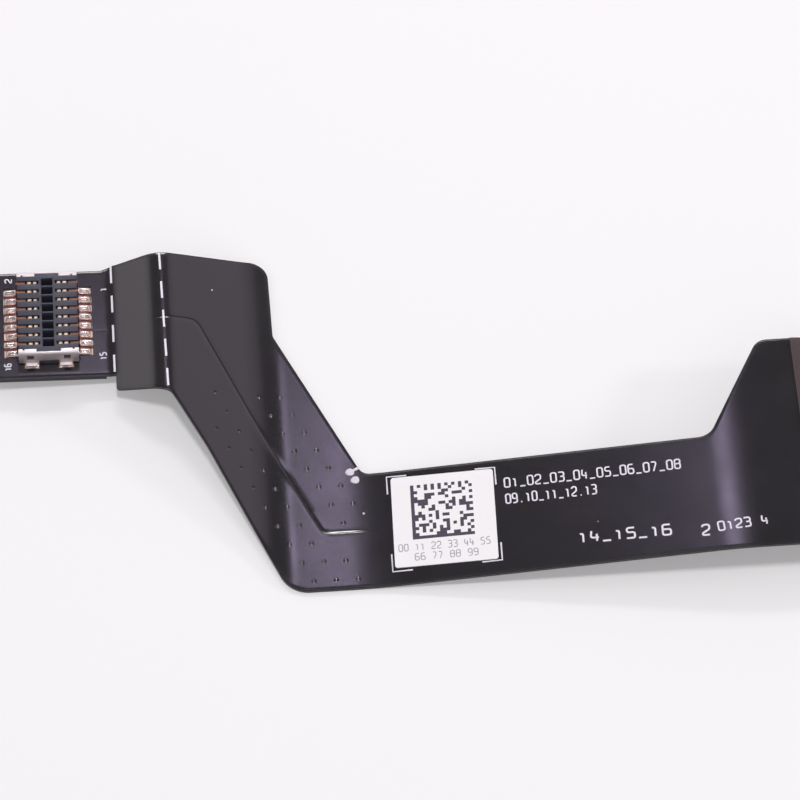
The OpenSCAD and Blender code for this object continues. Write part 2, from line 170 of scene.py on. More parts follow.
@dataclass(frozen=True)
class Finish:
    """One real material and how its surface was made.

    A noise of grain_mm gives the fine structure its bump and its changes of roughness, and a
    second, coarser noise of cloud_mm shifts the colour a little, as handling and batches do.
    """

    name: str
    colour: str
    roughness: float
    metallic: float = 0.0
    ior: float = 1.5
    grain_mm: float = 0.2
    grain: Grain = Grain.EVEN
    bump: float = 0.1
    cloud_mm: float = 3.0
    cloud: float = 0.12
    roughness_spread: float = 0.06
    coat: float = 0.0

    def material(self) -> bpy.types.Material:
        """Builds the material once and returns it from then on."""
        made = bpy.data.materials.get(self.name)
        return made or self._build()

    def _build(self) -> bpy.types.Material:
        """Makes the node tree: coordinates, two noises, colour, roughness and bump.

        Returns:
            The new material.
        """
        material = bpy.data.materials.new(self.name)
        tree = cleared(material)
        shader = add(tree, "ShaderNodeBsdfPrincipled",
                     {"Metallic": self.metallic, "IOR": self.ior, "Coat Weight": self.coat})
        place = add(tree, "ShaderNodeTexCoord").outputs["Object"]
        cloud = self._noise(tree, place, self.cloud_mm, Grain.EVEN, 3.0)
        grain = self._noise(tree, place, self.grain_mm, self.grain, 2.0)
        tree.links.new(self._colour(tree, place, cloud), shader.inputs["Base Color"])
        tree.links.new(self._roughness(tree, cloud, grain), shader.inputs["Roughness"])
        bump = add(tree, "ShaderNodeBump", {"Strength": self.bump, "Height": grain,
                                            "Distance": self.grain_mm * MM * 0.1})
        tree.links.new(bump.outputs["Normal"], shader.inputs["Normal"])
        out = add(tree, "ShaderNodeOutputMaterial")
        tree.links.new(shader.outputs["BSDF"], out.inputs["Surface"])
        return material

    @staticmethod
    def _noise(tree: bpy.types.NodeTree, place: bpy.types.NodeSocket, size_mm: float,
               grain: Grain, detail: float) -> bpy.types.NodeSocket:
        """A noise whose features are size_mm across, drawn out along the grain.

        Args:
            tree: the material's tree.
            place: the object coordinates.
            size_mm: how far apart its features are.
            grain: the way they are drawn out.
            detail: how many finer layers it has.

        Returns:
            The noise, about 0.5.
        """
        turned = add(tree, "ShaderNodeMapping", {"Vector": place, "Scale": grain.value})
        noise = add(tree, "ShaderNodeTexNoise", {"Vector": turned.outputs["Vector"],
                                                 "Scale": 1 / (size_mm * MM), "Detail": detail})
        return noise.outputs["Fac"]

    def _colour(self, tree: bpy.types.NodeTree, place: bpy.types.NodeSocket,
                cloud: bpy.types.NodeSocket) -> bpy.types.NodeSocket:
        """The colour, a little lighter or darker with the coarse noise.

        Args:
            tree: the material's tree.
            place: the object coordinates; not used here.
            cloud: the coarse noise.

        Returns:
            The base colour.
        """
        value = add(tree, "ShaderNodeMapRange", {"Value": cloud, "To Min": 1 - self.cloud,
                                                 "To Max": 1 + self.cloud})
        shade = add(tree, "ShaderNodeHueSaturation", {"Value": value.outputs["Result"],
                                                      "Color": linear(self.colour)})
        return shade.outputs["Color"]

    def _roughness(self, tree: bpy.types.NodeTree, cloud: bpy.types.NodeSocket,
                   grain: bpy.types.NodeSocket) -> bpy.types.NodeSocket:
        """The roughness, spread by the mean of the two noises.

        Args:
            tree: the material's tree.
            cloud: the coarse noise.
            grain: the fine noise.

        Returns:
            The roughness.
        """
        mean = add(tree, "ShaderNodeMath", {0: cloud, 1: grain}, operation="ADD")
        spread = self.roughness_spread
        rough = add(tree, "ShaderNodeMapRange",
                    {"Value": mean.outputs["Value"], "From Min": 0.6, "From Max": 1.4,
                     "To Min": self.roughness - spread, "To Max": self.roughness + spread})
        return rough.outputs["Result"]


@dataclass(frozen=True)
class TwoTone(Finish):
    """A strip that is plated near a plane across x and bare beyond reach_mm from it."""

    plating: str = "#e2cbb2"
    middle_mm: float = 0.0
    reach_mm: float = 2.0
    blend_mm: float = 0.05

    def _colour(self, tree: bpy.types.NodeTree, place: bpy.types.NodeSocket,
                cloud: bpy.types.NodeSocket) -> bpy.types.NodeSocket:
        """The plating's colour within reach of the plane and the bare one beyond.

        Args:
            tree: the material's tree.
            place: the object coordinates.
            cloud: the coarse noise.

        Returns:
            The base colour.
        """
        bare = super()._colour(tree, place, cloud)
        axes = add(tree, "ShaderNodeSeparateXYZ", {"Vector": place})
        off = add(tree, "ShaderNodeMath", {0: axes.outputs["X"], 1: self.middle_mm * MM},
                  operation="SUBTRACT")
        away = add(tree, "ShaderNodeMath", {0: off.outputs["Value"]}, operation="ABSOLUTE")
        line = self.reach_mm * MM
        share = add(tree, "ShaderNodeMapRange",
                    {"Value": away.outputs["Value"], "From Min": line,
                     "From Max": line + self.blend_mm * MM, "To Min": 1.0, "To Max": 0.0})
        mix = add(tree, "ShaderNodeMix", {"Factor": share.outputs["Result"], 6: bare,
                                          7: linear(self.plating)}, data_type="RGBA")
        return mix.outputs[2]


@dataclass(frozen=True)
class CutEdge(Finish):
    """A film whose upright faces, the walls of its cut, take a dark colour, while its level faces
    keep their own.
    """

    edge: str = "#1d1a1f"

    def _colour(self, tree: bpy.types.NodeTree, place: bpy.types.NodeSocket,
                cloud: bpy.types.NodeSocket) -> bpy.types.NodeSocket:
        """The edge's colour on upright faces and the film's own on level ones.

        Args:
            tree: the material's tree.
            place: the object coordinates.
            cloud: the coarse noise.

        Returns:
            The base colour.
        """
        face = super()._colour(tree, place, cloud)
        shape = add(tree, "ShaderNodeNewGeometry")
        axes = add(tree, "ShaderNodeSeparateXYZ", {"Vector": shape.outputs["True Normal"]})
        level = add(tree, "ShaderNodeMath", {0: axes.outputs["Z"]}, operation="ABSOLUTE")
        share = add(tree, "ShaderNodeMapRange", {"Value": level.outputs["Value"],
                                                 "From Min": 0.4, "From Max": 0.7})
        mix = add(tree, "ShaderNodeMix", {"Factor": share.outputs["Result"],
                                          6: linear(self.edge), 7: face}, data_type="RGBA")
        return mix.outputs[2]


# Black polyimide coverlay, hot-pressed: an even satin black with soft pressing clouds.
COVERLAY = Finish("black_polyimide_coverlay", "#1f1c20", 0.17, ior=1.7, grain_mm=0.12, bump=0.06,
                  cloud_mm=4.0, cloud=0.15, roughness_spread=0.03)
# Amber polyimide base film over copper: a deep red-brown where it shows between the pads.
BASE_FILM = CutEdge("red_brown_polyimide_base", "#70302f", 0.35, ior=1.6, grain_mm=0.1, bump=0.08)
# Rolled copper foil: long fine rolling lines along the cable.
COPPER = Finish("rolled_copper_foil", "#c9805c", 0.34, metallic=1.0, grain_mm=0.08,
                grain=Grain.ALONG_X, bump=0.2)
# Gold flash over nickel: pale, warm and slightly uneven.
GOLD = Finish("gold_flash_plating", "#e9cbb0", 0.34, metallic=1.0, grain_mm=0.06, bump=0.15)
# Reflowed tin-silver solder: bright, pinkish, gently rippled as it froze.
SOLDER = Finish("reflowed_tin_solder", "#e2d2cd", 0.24, metallic=1.0, grain_mm=0.14, bump=0.45,
                cloud_mm=0.5, cloud=0.12, roughness_spread=0.08)
# Tin-plated steel strip: pale, drawn along the connector's end.
TIN_PLATE = Finish("tin_plated_steel", "#e2d9da", 0.5, metallic=1.0, grain_mm=0.05,
                   grain=Grain.ALONG_X, bump=0.25, cloud_mm=0.8, cloud=0.06)
# Glass-filled liquid crystal polymer, moulded: blue-grey with pale fibre specks.
LCP = Finish("moulded_liquid_crystal_polymer", "#3a3a49", 0.5, ior=1.55, grain_mm=0.09, bump=0.6,
             cloud_mm=0.14, cloud=0.5, roughness_spread=0.1)
# Phosphor bronze strip, stamped, with gold on the fork tips: orange-brown, pale gold on top.
BRONZE = TwoTone("stamped_phosphor_bronze", "#8e6c5c", 0.42, metallic=1.0, grain_mm=0.06,
                 grain=Grain.ALONG_X, bump=0.2, cloud_mm=0.4, cloud=0.15, middle_mm=-38.44,
                 reach_mm=2.0)
# Coated white label film: a soft white with the faintest tooth.
LABEL_FILM = Finish("coated_white_label_film", "#fbf9fa", 0.5, grain_mm=0.08, bump=0.08,
                    cloud_mm=2.0, cloud=0.02)
# Screen-printed white epoxy ink: flat white with a lavender cast and a toothed top.
SILK_INK = Finish("screen_printed_white_ink", "#f3eef9", 0.55, grain_mm=0.1, bump=0.3,
                  cloud_mm=0.4, cloud=0.04)
# Thermal-transfer dark ink on the label: a soft violet black.
CODE_INK = Finish("thermal_transfer_dark_ink", "#443c4e", 0.6, grain_mm=0.1, bump=0.1,
                  cloud_mm=0.5, cloud=0.08)
# The same ink in hair lines, which the label's white thins to a light grey.
HAIR_INK = Finish("thermal_transfer_grey_ink", "#b0acb6", 0.6, grain_mm=0.1, bump=0.1)
# Thick drops of white marking paint: glossy, slightly grey.
PAINT = Finish("white_marking_paint", "#e4dfe4", 0.3, grain_mm=0.3, bump=0.2, cloud=0.04)
# Brown polyimide tape over the black coverlay: a dark red-brown with a clear gloss.
BROWN_TAPE = Finish("brown_polyimide_tape", "#493a38", 0.3, ior=1.6, grain_mm=0.2, bump=0.1,
                    cloud_mm=5.0, cloud=0.12, coat=0.2)
# Black glass-epoxy stiffener board: satin, with the weave of its glass cloth just showing.
STIFFENER = Finish("black_glass_epoxy_board", "#26232a", 0.42, ior=1.55, grain_mm=0.25, bump=0.25)
# Cured thermosetting adhesive film: a dark brown line at the stiffener's edge.
ADHESIVE = Finish("cured_adhesive_film", "#3a2c2a", 0.5, grain_mm=0.1, bump=0.1)
# Airborne lint: white and matt.
LINT = Finish("white_lint", "#f4f2f2", 0.9, grain_mm=0.1, bump=0.3, cloud=0.02)

CAD_FINISHES: dict[str, Finish] = {
    "base_film": BASE_FILM,
    "front_copper_far": COPPER,
    "front_copper_near": COPPER,
    "rear_copper_far": COPPER,
    "rear_copper_near": COPPER,
    "signal_traces": COPPER,
    "plated_vias": COPPER,
    "pads_left": GOLD,
    "pads_right": GOLD,
    "pads_hold_down": GOLD,
    "end_lands": GOLD,
    "label": LABEL_FILM,
    "stiffener": STIFFENER,
    "stiffener_adhesive": ADHESIVE,
}


# ---------------------------------------------------------------- meshes and modifiers


def linked(name: str, data: bpy.types.ID) -> bpy.types.Object:
    """Makes an object and links it to the scene.

    Args:
        name: the object's name.
        data: its mesh, lamp or camera.

    Returns:
        The linked object.
    """
    made = bpy.data.objects.new(name, data)
    bpy.context.scene.collection.objects.link(made)
    return made


def settled(made: bpy.types.Object) -> bpy.types.Object:
    """Applies an object's modifiers.

    Args:
        made: a mesh object, which this call uses up.

    Returns:
        A plain mesh object of the same name.
    """
    bpy.context.view_layer.update()
    graph = bpy.context.evaluated_depsgraph_get()
    mesh = bpy.data.meshes.new_from_object(made.evaluated_get(graph))
    name = mesh.name = made.name
    bpy.data.objects.remove(made)
    return linked(name, mesh)


def shade(piece: bpy.types.Object, sharp_degrees: float) -> None:
    """Shades a piece smoothly, with its edges sharp from an angle on.

    Args:
        piece: the mesh object.
        sharp_degrees: the angle between two faces from which their edge is sharp.
    """
    piece.data.polygons.foreach_set("use_smooth", [True] * len(piece.data.polygons))
    piece.data.set_sharp_from_angle(angle=math.radians(sharp_degrees))


def mesh_object(name: str, coords: Array, faces: Sequence[Sequence[int]],
                finish: Finish | None = None) -> bpy.types.Object:
    """Makes a mesh object at the origin.

    Args:
        name: the piece's name.
        coords: vertex places in metres.
        faces: vertex numbers of each face.
        finish: its material, or None for a helper.

    Returns:
        The linked object.
    """
    mesh = bpy.data.meshes.new(name)
    mesh.from_pydata([tuple(c) for c in coords], [], [tuple(f) for f in faces])
    mesh.polygons.foreach_set("use_smooth", [True] * len(mesh.polygons))
    mesh.update()
    if finish:
        mesh.materials.append(finish.material())
    return linked(name, mesh)


def line_object(name: str, coords: Array, closed: bool = False) -> bpy.types.Object:
    """Makes a helper object: points joined by edges in order.

    Args:
        name: the helper's name.
        coords: vertex places in metres.
        closed: whether the last point joins the first.

    Returns:
        The linked object.
    """
    count = len(coords)
    edges = [(i, i + 1) for i in range(count - 1)] + ([(count - 1, 0)] if closed else [])
    mesh = bpy.data.meshes.new(name)
    mesh.from_pydata([tuple(c) for c in coords], edges, [])
    return linked(name, mesh)


class NodeTool:
    """A Geometry Nodes tree with named inputs, used as a modifier and then applied."""

    def __init__(self, name: str, inputs: dict[str, str]) -> None:
        """Makes the tree and its sockets.

        Args:
            name: the tree's name.
            inputs: input name to socket type, after the geometry itself.
        """
        self.tree = bpy.data.node_groups.new(name, "GeometryNodeTree")
        self._socket("Geometry", "INPUT", "NodeSocketGeometry")
        for label, kind in inputs.items():
            self._socket(label, "INPUT", kind)
        self._socket("Geometry", "OUTPUT", "NodeSocketGeometry")
        self.source = add(self.tree, "NodeGroupInput").outputs

    def _socket(self, name: str, side: str, kind: str) -> None:
        """Adds one socket to the tree's interface."""
        self.tree.interface.new_socket(name, in_out=side, socket_type=kind)

    def add(self, kind: str, links: dict | None = None, **settings: object) -> bpy.types.Node:
        """Adds a node to this tree."""
        return add(self.tree, kind, links, **settings)

    def end(self, geometry: bpy.types.NodeSocket) -> None:
        """Closes the tree: instances become real and take the material.

        Args:
            geometry: what the tree has made.
        """
        real = self.add("GeometryNodeRealizeInstances", {"Geometry": geometry})
        dressed = self.add("GeometryNodeSetMaterial", {"Geometry": real.outputs["Geometry"],
                                                       "Material": self.source["Material"]})
        self.add("NodeGroupOutput", {"Geometry": dressed.outputs["Geometry"]})

    def apply(self, target: bpy.types.Object, values: dict[str, object]) -> bpy.types.Object:
        """Runs the tree on an object and keeps the result as a plain mesh object.

        Args:
            target: a mesh object, which this call uses up.
            values: input name to value.

        Returns:
            A mesh object with the target's name.
        """
        modifier = target.modifiers.new("nodes", "NODES")
        modifier.node_group = self.tree
        for item in self.tree.interface.items_tree:
            if item.in_out == "INPUT" and item.name in values:
                modifier[item.identifier] = values[item.name]
        return settled(target)

    def make(self, name: str, values: dict[str, object]) -> bpy.types.Object:
        """Runs a tree that needs no shape to start from.

        Args:
            name: the new piece's name.
            values: input name to value.

        Returns:
            What the tree makes, as a mesh object.
        """
        return self.apply(mesh_object(name, np.zeros((1, 3)), []), values)


def coordinates(piece: bpy.types.Object) -> Array:
    """Reads the vertex places of a piece.

    Args:
        piece: the mesh object.

    Returns:
        One row a vertex.
    """
    flat = np.zeros(len(piece.data.vertices) * 3)
    piece.data.vertices.foreach_get("co", flat)
    return flat.reshape(-1, 3)


def set_coordinates(piece: bpy.types.Object, coords: Array) -> None:
    """Moves a piece's vertices."""
    piece.data.vertices.foreach_set("co", np.ascontiguousarray(coords, float).ravel())
    piece.data.update()


def keep(piece: bpy.types.Object, replaced: Iterable[str] = ()) -> bpy.types.Object:
    """Rides a finished piece on the body and reports it.

    Args:
        piece: the finished mesh object.
        replaced: the CAD nodes that it stands for.

    Returns:
        The piece.
    """
    for node in replaced:
        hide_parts(node)
    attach(piece, BODY)
    log.info("%s: %d faces", piece.name, len(piece.data.polygons))
    return piece


# ---------------------------------------------------------------- plan shapes


def arc_corner(before: Array, here: Array, after: Array, radius: float,
               step: float) -> list[Array]:
    """Rounds one corner.

    Args:
        before: the point before the corner.
        here: the corner.
        after: the point after it.
        radius: the corner's radius.
        step: the longest stretch of arc between two points.

    Returns:
        Points along the arc.
    """
    back = (before - here) / np.linalg.norm(before - here)
    ahead = (after - here) / np.linalg.norm(after - here)
    half = math.acos(float(np.clip(back @ ahead, -1, 1))) / 2
    middle = back + ahead
    centre = here + middle / np.linalg.norm(middle) * radius / math.sin(half)
    first = here + back * radius / math.tan(half) - centre
    last = here + ahead * radius / math.tan(half) - centre
    start = math.atan2(first[1], first[0])
    sweep = math.atan2(last[1], last[0]) - start
    sweep = (sweep + math.pi) % (2 * math.pi) - math.pi
    count = max(2, math.ceil(abs(sweep) * radius / step))
    return [centre + radius * np.array([math.cos(start + sweep * k / count),
                                        math.sin(start + sweep * k / count)])
            for k in range(count + 1)]


def rounded_loop(corners: Sequence[tuple[float, float, float]], step: float) -> Array:
    """A closed loop with rounded corners and points no further than step apart.

    Args:
        corners: x, y and corner radius of each corner, in order.
        step: the longest stretch between two points.

    Returns:
        The loop's points, one row each.
    """
    points = [np.array(c[:2]) for c in corners]
    count = len(points)
    loop: list[Array] = []
    for i, (x, y, radius) in enumerate(corners):
        if radius:
            loop += arc_corner(points[i - 1], points[i], points[(i + 1) % count], radius, step)
        else:
            loop.append(np.array([x, y]))
    return divided(np.array(loop), step, closed=True)


def divided(path: Array, step: float, closed: bool = False) -> Array:
    """Cuts each long stretch of a path into steps.

    Args:
        path: the path's points.
        step: the longest stretch between two points.
        closed: whether its last point joins its first.

    Returns:
        The path with its added points.
    """
    ends = np.roll(path, -1, axis=0) if closed else path[1:]
    points: list[Array] = []
    for a, b in zip(path, ends):
        length = float(np.linalg.norm(b - a))
        if length < step * 0.05:
            continue
        count = max(1, math.ceil(length / step))
        points += [a + (b - a) * k / count for k in range(count)]
    return np.array(points if closed else points + [path[-1]])


def normals(path: Array, closed: bool) -> Array:
    """Finds the unit normals to the left of a path.

    Args:
        path: the path's points.
        closed: whether its last point joins its first.

    Returns:
        One normal a point.
    """
    if closed:
        along = np.roll(path, -1, axis=0) - np.roll(path, 1, axis=0)
    else:
        along = np.gradient(path, axis=0)
    along /= np.linalg.norm(along, axis=1)[:, None]
    return np.stack([-along[:, 1], along[:, 0]], axis=1)


def distance(points: Array, path: Array, closed: bool) -> Array:
    """Each point's distance to a path.

    Args:
        points: one row each.
        path: the path's points.
        closed: whether its last point joins its first.

    Returns:
        One distance a point.
    """
    starts = path if closed else path[:-1]
    spans = (np.roll(path, -1, axis=0) if closed else path[1:]) - starts
    square = np.maximum((spans ** 2).sum(axis=1), 1e-12)
    found = []
    for chunk in np.array_split(points, max(1, len(points) // 1000)):
        offset = chunk[:, None, :] - starts[None]
        share = np.clip((offset * spans).sum(axis=2) / square, 0, 1)
        gap = offset - share[..., None] * spans
        found.append(np.sqrt((gap ** 2).sum(axis=2)).min(axis=1))
    return np.concatenate(found)


def inside(points: Array, loop: Array) -> Array:
    """Finds which points lie inside a loop, by counting the edges that each passes.

    Args:
        points: one row each.
        loop: the loop's points.

    Returns:
        One truth value a point.
    """
    ends = np.roll(loop, -1, axis=0)
    crossed = np.zeros(len(points), int)
    for (x0, y0), (x1, y1) in zip(loop, ends):
        if y0 == y1:
            continue
        between = (points[:, 1] >= min(y0, y1)) & (points[:, 1] < max(y0, y1))
        at = x0 + (points[:, 1] - y0) * (x1 - x0) / (y1 - y0)
        crossed += between & (at > points[:, 0])
    return crossed % 2 == 1


def x_on(first: Point, second: Point, y: float) -> float:
    """Where the straight line through two plan points is at a given y.

    Args:
        first: one point.
        second: the other.
        y: the place across the cable.

    Returns:
        The place along the cable.
    """
    return first[0] + (second[0] - first[0]) * (y - first[1]) / (second[1] - first[1])


# ---------------------------------------------------------------- the bent sheet


@dataclass(frozen=True)
class Bend:
    """A rounded bend across the cable: where it is, the slope after it and its length."""

    x: float
    slope: float
    length: float


@dataclass
class SheetForm:
    """The bent form of the cable, the same rule as the CAD sheet's, without facets."""

    length: float
    far_y: float
    top: float
    panel_lift: float = 1.8
    panel_slope: float = -0.048
    crest_x: float = 17.7
    crest_slope: float = -0.35
    ramp_slope: float = 0.5
    ramp_x: float = 13.2
    run_slope: float = 0.103
    run_x: tuple[float, float] = (37.0, 71.5)
    drop_len: float = 8.2
    foot_len: float = 1.8
    thickness: float = 0.4
    bends: list[Bend] = field(init=False)

    def __post_init__(self) -> None:
        """Works out the bends from the driving sizes."""
        crest_height = (self.panel_lift + self.panel_slope * self.ramp_x
                        + self.ramp_slope * (self.crest_x - self.ramp_x))
        landing = self.crest_x - crest_height / self.crest_slope
        rise = self.run_slope * (self.run_x[1] - self.run_x[0])
        foot = self.length - self.foot_len
        self.bends = [
            Bend(self.ramp_x, self.ramp_slope, 1.4),
            Bend(self.crest_x, self.crest_slope, 2.4),
            Bend(landing, 0, 4),
            Bend(self.run_x[0], self.run_slope, 5),
            Bend(self.run_x[1], 0, 4),
            Bend(foot - self.drop_len, -rise / self.drop_len, 5),
            Bend(foot, 0, 2.8),
        ]

    def slope(self, x: Array) -> Array:
        """The sheet's slope.

        Args:
            x: places along the cable.

        Returns:
            One slope a place.
        """
        total = np.full_like(x, self.panel_slope)
        before = self.panel_slope
        for bend in self.bends:
            share = np.clip((x - bend.x) / bend.length + 0.5, 0, 1)
            total += (bend.slope - before) * share
            before = bend.slope
        return total

    def height(self, x: Array) -> Array:
        """The height of the sheet's underside over the table.

        Args:
            x: places along the cable.

        Returns:
            One height a place, in millimetres.
        """
        total = self.panel_lift + self.panel_slope * x
        before = self.panel_slope
        for bend in self.bends:
            past = np.clip(x - bend.x + bend.length / 2, 0, bend.length)
            rise = past ** 2 / (2 * bend.length) + np.maximum(x - bend.x - bend.length / 2, 0)
            total = total + (bend.slope - before) * rise
            before = bend.slope
        return total

    def place(self, x: Array, y: Array, lift: Array | float) -> Array:
        """Turns plan places and lifts over the underside into the frame's metres.

        The plan shape is cut straight down, so x is kept and the lift is measured along the
        sheet's normal.

        Args:
            x: along the cable, in millimetres.
            y: across it.
            lift: height over the sheet's underside along its normal.

        Returns:
            Places in metres, one row each.
        """
        x = np.asarray(x, float)
        steepness = np.hypot(1, self.slope(x))
        z = np.minimum(self.height(x) + np.asarray(lift) * steepness, self.top)
        return np.stack([x - self.length / 2, np.asarray(y, float) - self.far_y / 2, z],
                        axis=1) * MM


class Side(Enum):
    """The two faces of the sheet."""

    FRONT = 1
    REAR = -1


@dataclass
class FlexSheet:
    """The two black coverlays: the sheet's skin with its pressed relief and its cut edge.

    The relief has three parts, each with a reach and a depth: a groove over the gap between the
    copper planes, a dimple over each via, and the fall to the cut edge. groove_clear is the middle
    of the groove's deep stretch, and how far from it the groove starts and ends fading.
    """

    form: SheetForm
    run_w: float = 12.35
    wide_w: float = 22.65
    panel_y: float = 24.5
    panel_len: float = 13.0
    far_step: float = 0.5
    ear_step: float = 1.65
    dogleg: Point = (28.4, 28.5)
    arm_left: tuple[Point, Point] = ((21.6, 15.4), (28.7, 0))
    arm_foot_x: float = 36.3
    widening_x: tuple[float, float] = (69.6, 75.3)
    end_film_x: float = 78.5
    end_film_t: float = 0.1
    film_h: float = 0.15
    point_step: float = 0.42
    merge_step: float = 0.03
    edge_rows: tuple[float, ...] = (0.05, 0.11, 0.18, 0.27, 0.38)
    groove_rows: tuple[float, ...] = (0.0, 0.04, 0.08, 0.12, 0.17)
    groove_half: float = 0.16
    groove_depth: float = 0.031
    groove_clear: tuple[float, float, float] = (27.0, 7.6, 11.0)
    dimple_r: float = 0.24
    dimple_rings: tuple[float, ...] = (0, 0.25, 0.5, 0.75, 1.0, 1.25)
    ring_points: int = 10
    dimple_depth: float = 0.058
    gap_arm: tuple[Point, Point] = ((21.15, 29.6), (32.2, 6.1))
    gap_end: Point = (80.5, 11.3)
    via_start: Point = (22.6, 1.0)
    via_step: Point = (2.1, 2.05)
    via_rows: int = 11
    via_columns: int = 7
    via_clear: float = 1.2
    via_margin: float = 1.0
    edge_w: float = 0.3
    edge_fall: float = 0.03

    def __post_init__(self) -> None:
        """Works out the outline, the gap line and the via places, and makes the relief tool."""
        length, far = self.form.length, self.form.far_y
        self.arm_right = ((self.arm_foot_x, self.run_w), (self.dogleg[0] + 0.15, self.dogleg[1]))
        corners = [
            (0, self.panel_y, 0.8), (self.panel_len + 0.15, self.panel_y, 0.1),
            (self.panel_len + 0.15, self.panel_y - self.ear_step, 0.3),
            (18.4, 21.3, 1.2), (*self.arm_left[0], 20), (*self.arm_left[1], 3), (length, 0, 1),
            (length, self.wide_w, 1), (self.widening_x[1], self.wide_w, 1.6),
            (self.widening_x[0], self.run_w, 1.8), (*self.arm_right[0], 1.2),
            (*self.arm_right[1], 0.8), (self.dogleg[0], far, 1.9),
            (self.panel_len + 0.2, far, 0.3), (self.panel_len - 1, far - self.far_step, 0.6),
            (0, far - self.far_step, 0.8)]
        self.outline = rounded_loop(corners, EDGE_STEP)
        top, bottom = self.gap_arm
        gap_corners = [(-1, top[1], 0), (*top, 1.2), (*bottom, 1.2),
                       (self.widening_x[1], bottom[1], 1.2), (*self.gap_end, 1.2),
                       (length + 1, self.gap_end[1], 0)]
        self.gap = self._open_path(gap_corners, EDGE_STEP)
        self.gap = self.gap[inside(self.gap, self.outline)]
        self.vias = self._via_places()
        self.relief = self._relief_tool()

    @staticmethod
    def _open_path(corners: Sequence[tuple[float, float, float]], step: float) -> Array:
        """Makes an open path with rounded corners.

        Args:
            corners: x, y and corner radius of each point, in order.
            step: the longest stretch between two points.

        Returns:
            The path's points.
        """
        points = [np.array(c[:2]) for c in corners]
        path = [points[0]]
        for i in range(1, len(points) - 1):
            path += arc_corner(points[i - 1], points[i], points[i + 1], corners[i][2], step)
        return divided(np.array(path + [points[-1]]), step)

    def _via_places(self) -> Array:
        """Sets out the staggered field of vias, clear of the arm's edges and of the gap.

        Returns:
            Plan places, one row each.
        """
        (step_x, step_y), (first_x, first_y) = self.via_step, self.via_start
        run_y = self.gap_arm[1][1]
        found = []
        for j in range(self.via_rows):
            y = first_y + step_y * j
            left = x_on(*self.arm_left, y) + self.via_margin
            right = x_on(*self.arm_right, max(y, self.run_w)) - self.via_margin
            gap = x_on(*self.gap_arm, y)
            for i in range(self.via_columns):
                x = first_x + step_x * (i + (j % 2) / 2)
                off_arm = abs(x - gap) > self.via_clear or y < run_y - self.via_margin
                off_run = x < gap or abs(y - run_y) > self.via_margin
                if left < x < right and off_arm and off_run:
                    found.append((x, y))
        return np.array(found)

    def _relief_tool(self) -> NodeTool:
        """Geometry Nodes that sink the skin along the gap line, over each via and towards the
        cut edge, each by its distance from the skin's points.

        Returns:
            The tool.
        """
        tool = NodeTool("press_relief", {
            "Gap line": "NodeSocketObject", "Groove half": "NodeSocketFloat",
            "Groove depth": "NodeSocketFloat", "Vias": "NodeSocketObject",
            "Dimple radius": "NodeSocketFloat", "Dimple depth": "NodeSocketFloat",
            "Edge line": "NodeSocketObject", "Edge width": "NodeSocketFloat",
            "Edge fall": "NodeSocketFloat", "Inward": "NodeSocketFloat",
            "Clear middle": "NodeSocketFloat", "Clear from": "NodeSocketFloat",
            "Clear to": "NodeSocketFloat",
            "Material": "NodeSocketMaterial"})
        place = tool.add("GeometryNodeInputPosition")
        axes = tool.add("ShaderNodeSeparateXYZ", {"Vector": place.outputs["Position"]})
        along = tool.add("ShaderNodeMath", {0: axes.outputs["X"], 1: tool.source["Clear middle"]},
                         operation="SUBTRACT")
        away = tool.add("ShaderNodeMath", {0: along.outputs["Value"]}, operation="ABSOLUTE")
        clear = tool.add("ShaderNodeMapRange",
                         {"Value": away.outputs["Value"], "From Min": tool.source["Clear from"],
                          "From Max": tool.source["Clear to"], "To Min": 1.0, "To Max": 0.08},
                         interpolation_type="SMOOTHSTEP")
        total: bpy.types.NodeSocket | float = 0.0
        for target, reach, depth, element in (
                ("Gap line", "Groove half", "Groove depth", "EDGES"),
                ("Vias", "Dimple radius", "Dimple depth", "POINTS"),
                ("Edge line", "Edge width", "Edge fall", "EDGES")):
            helper = tool.add("GeometryNodeObjectInfo", {"Object": tool.source[target]},
                              transform_space="RELATIVE")
            near = tool.add("GeometryNodeProximity", {0: helper.outputs["Geometry"]},
                            target_element=element)
            share = tool.add("ShaderNodeMapRange",
                             {"Value": near.outputs["Distance"], "From Max": tool.source[reach],
                              "To Min": tool.source[depth], "To Max": 0.0},
                             interpolation_type="SMOOTHSTEP")
            sunk = share.outputs["Result"]
            if target == "Gap line":
                sunk = tool.add("ShaderNodeMath", {0: sunk, 1: clear.outputs["Result"]},
                                operation="MULTIPLY").outputs["Value"]
            total = tool.add("ShaderNodeMath", {0: total, 1: sunk},
                             operation="ADD").outputs["Value"]
        rise = tool.add("ShaderNodeMath", {0: total, 1: tool.source["Inward"]},
                        operation="MULTIPLY")
        shift = tool.add("ShaderNodeCombineXYZ", {"Z": rise.outputs["Value"]})
        moved = tool.add("GeometryNodeSetPosition", {"Geometry": tool.source["Geometry"],
                                                     "Offset": shift.outputs["Vector"]})
        tool.end(moved.outputs["Geometry"])
        return tool

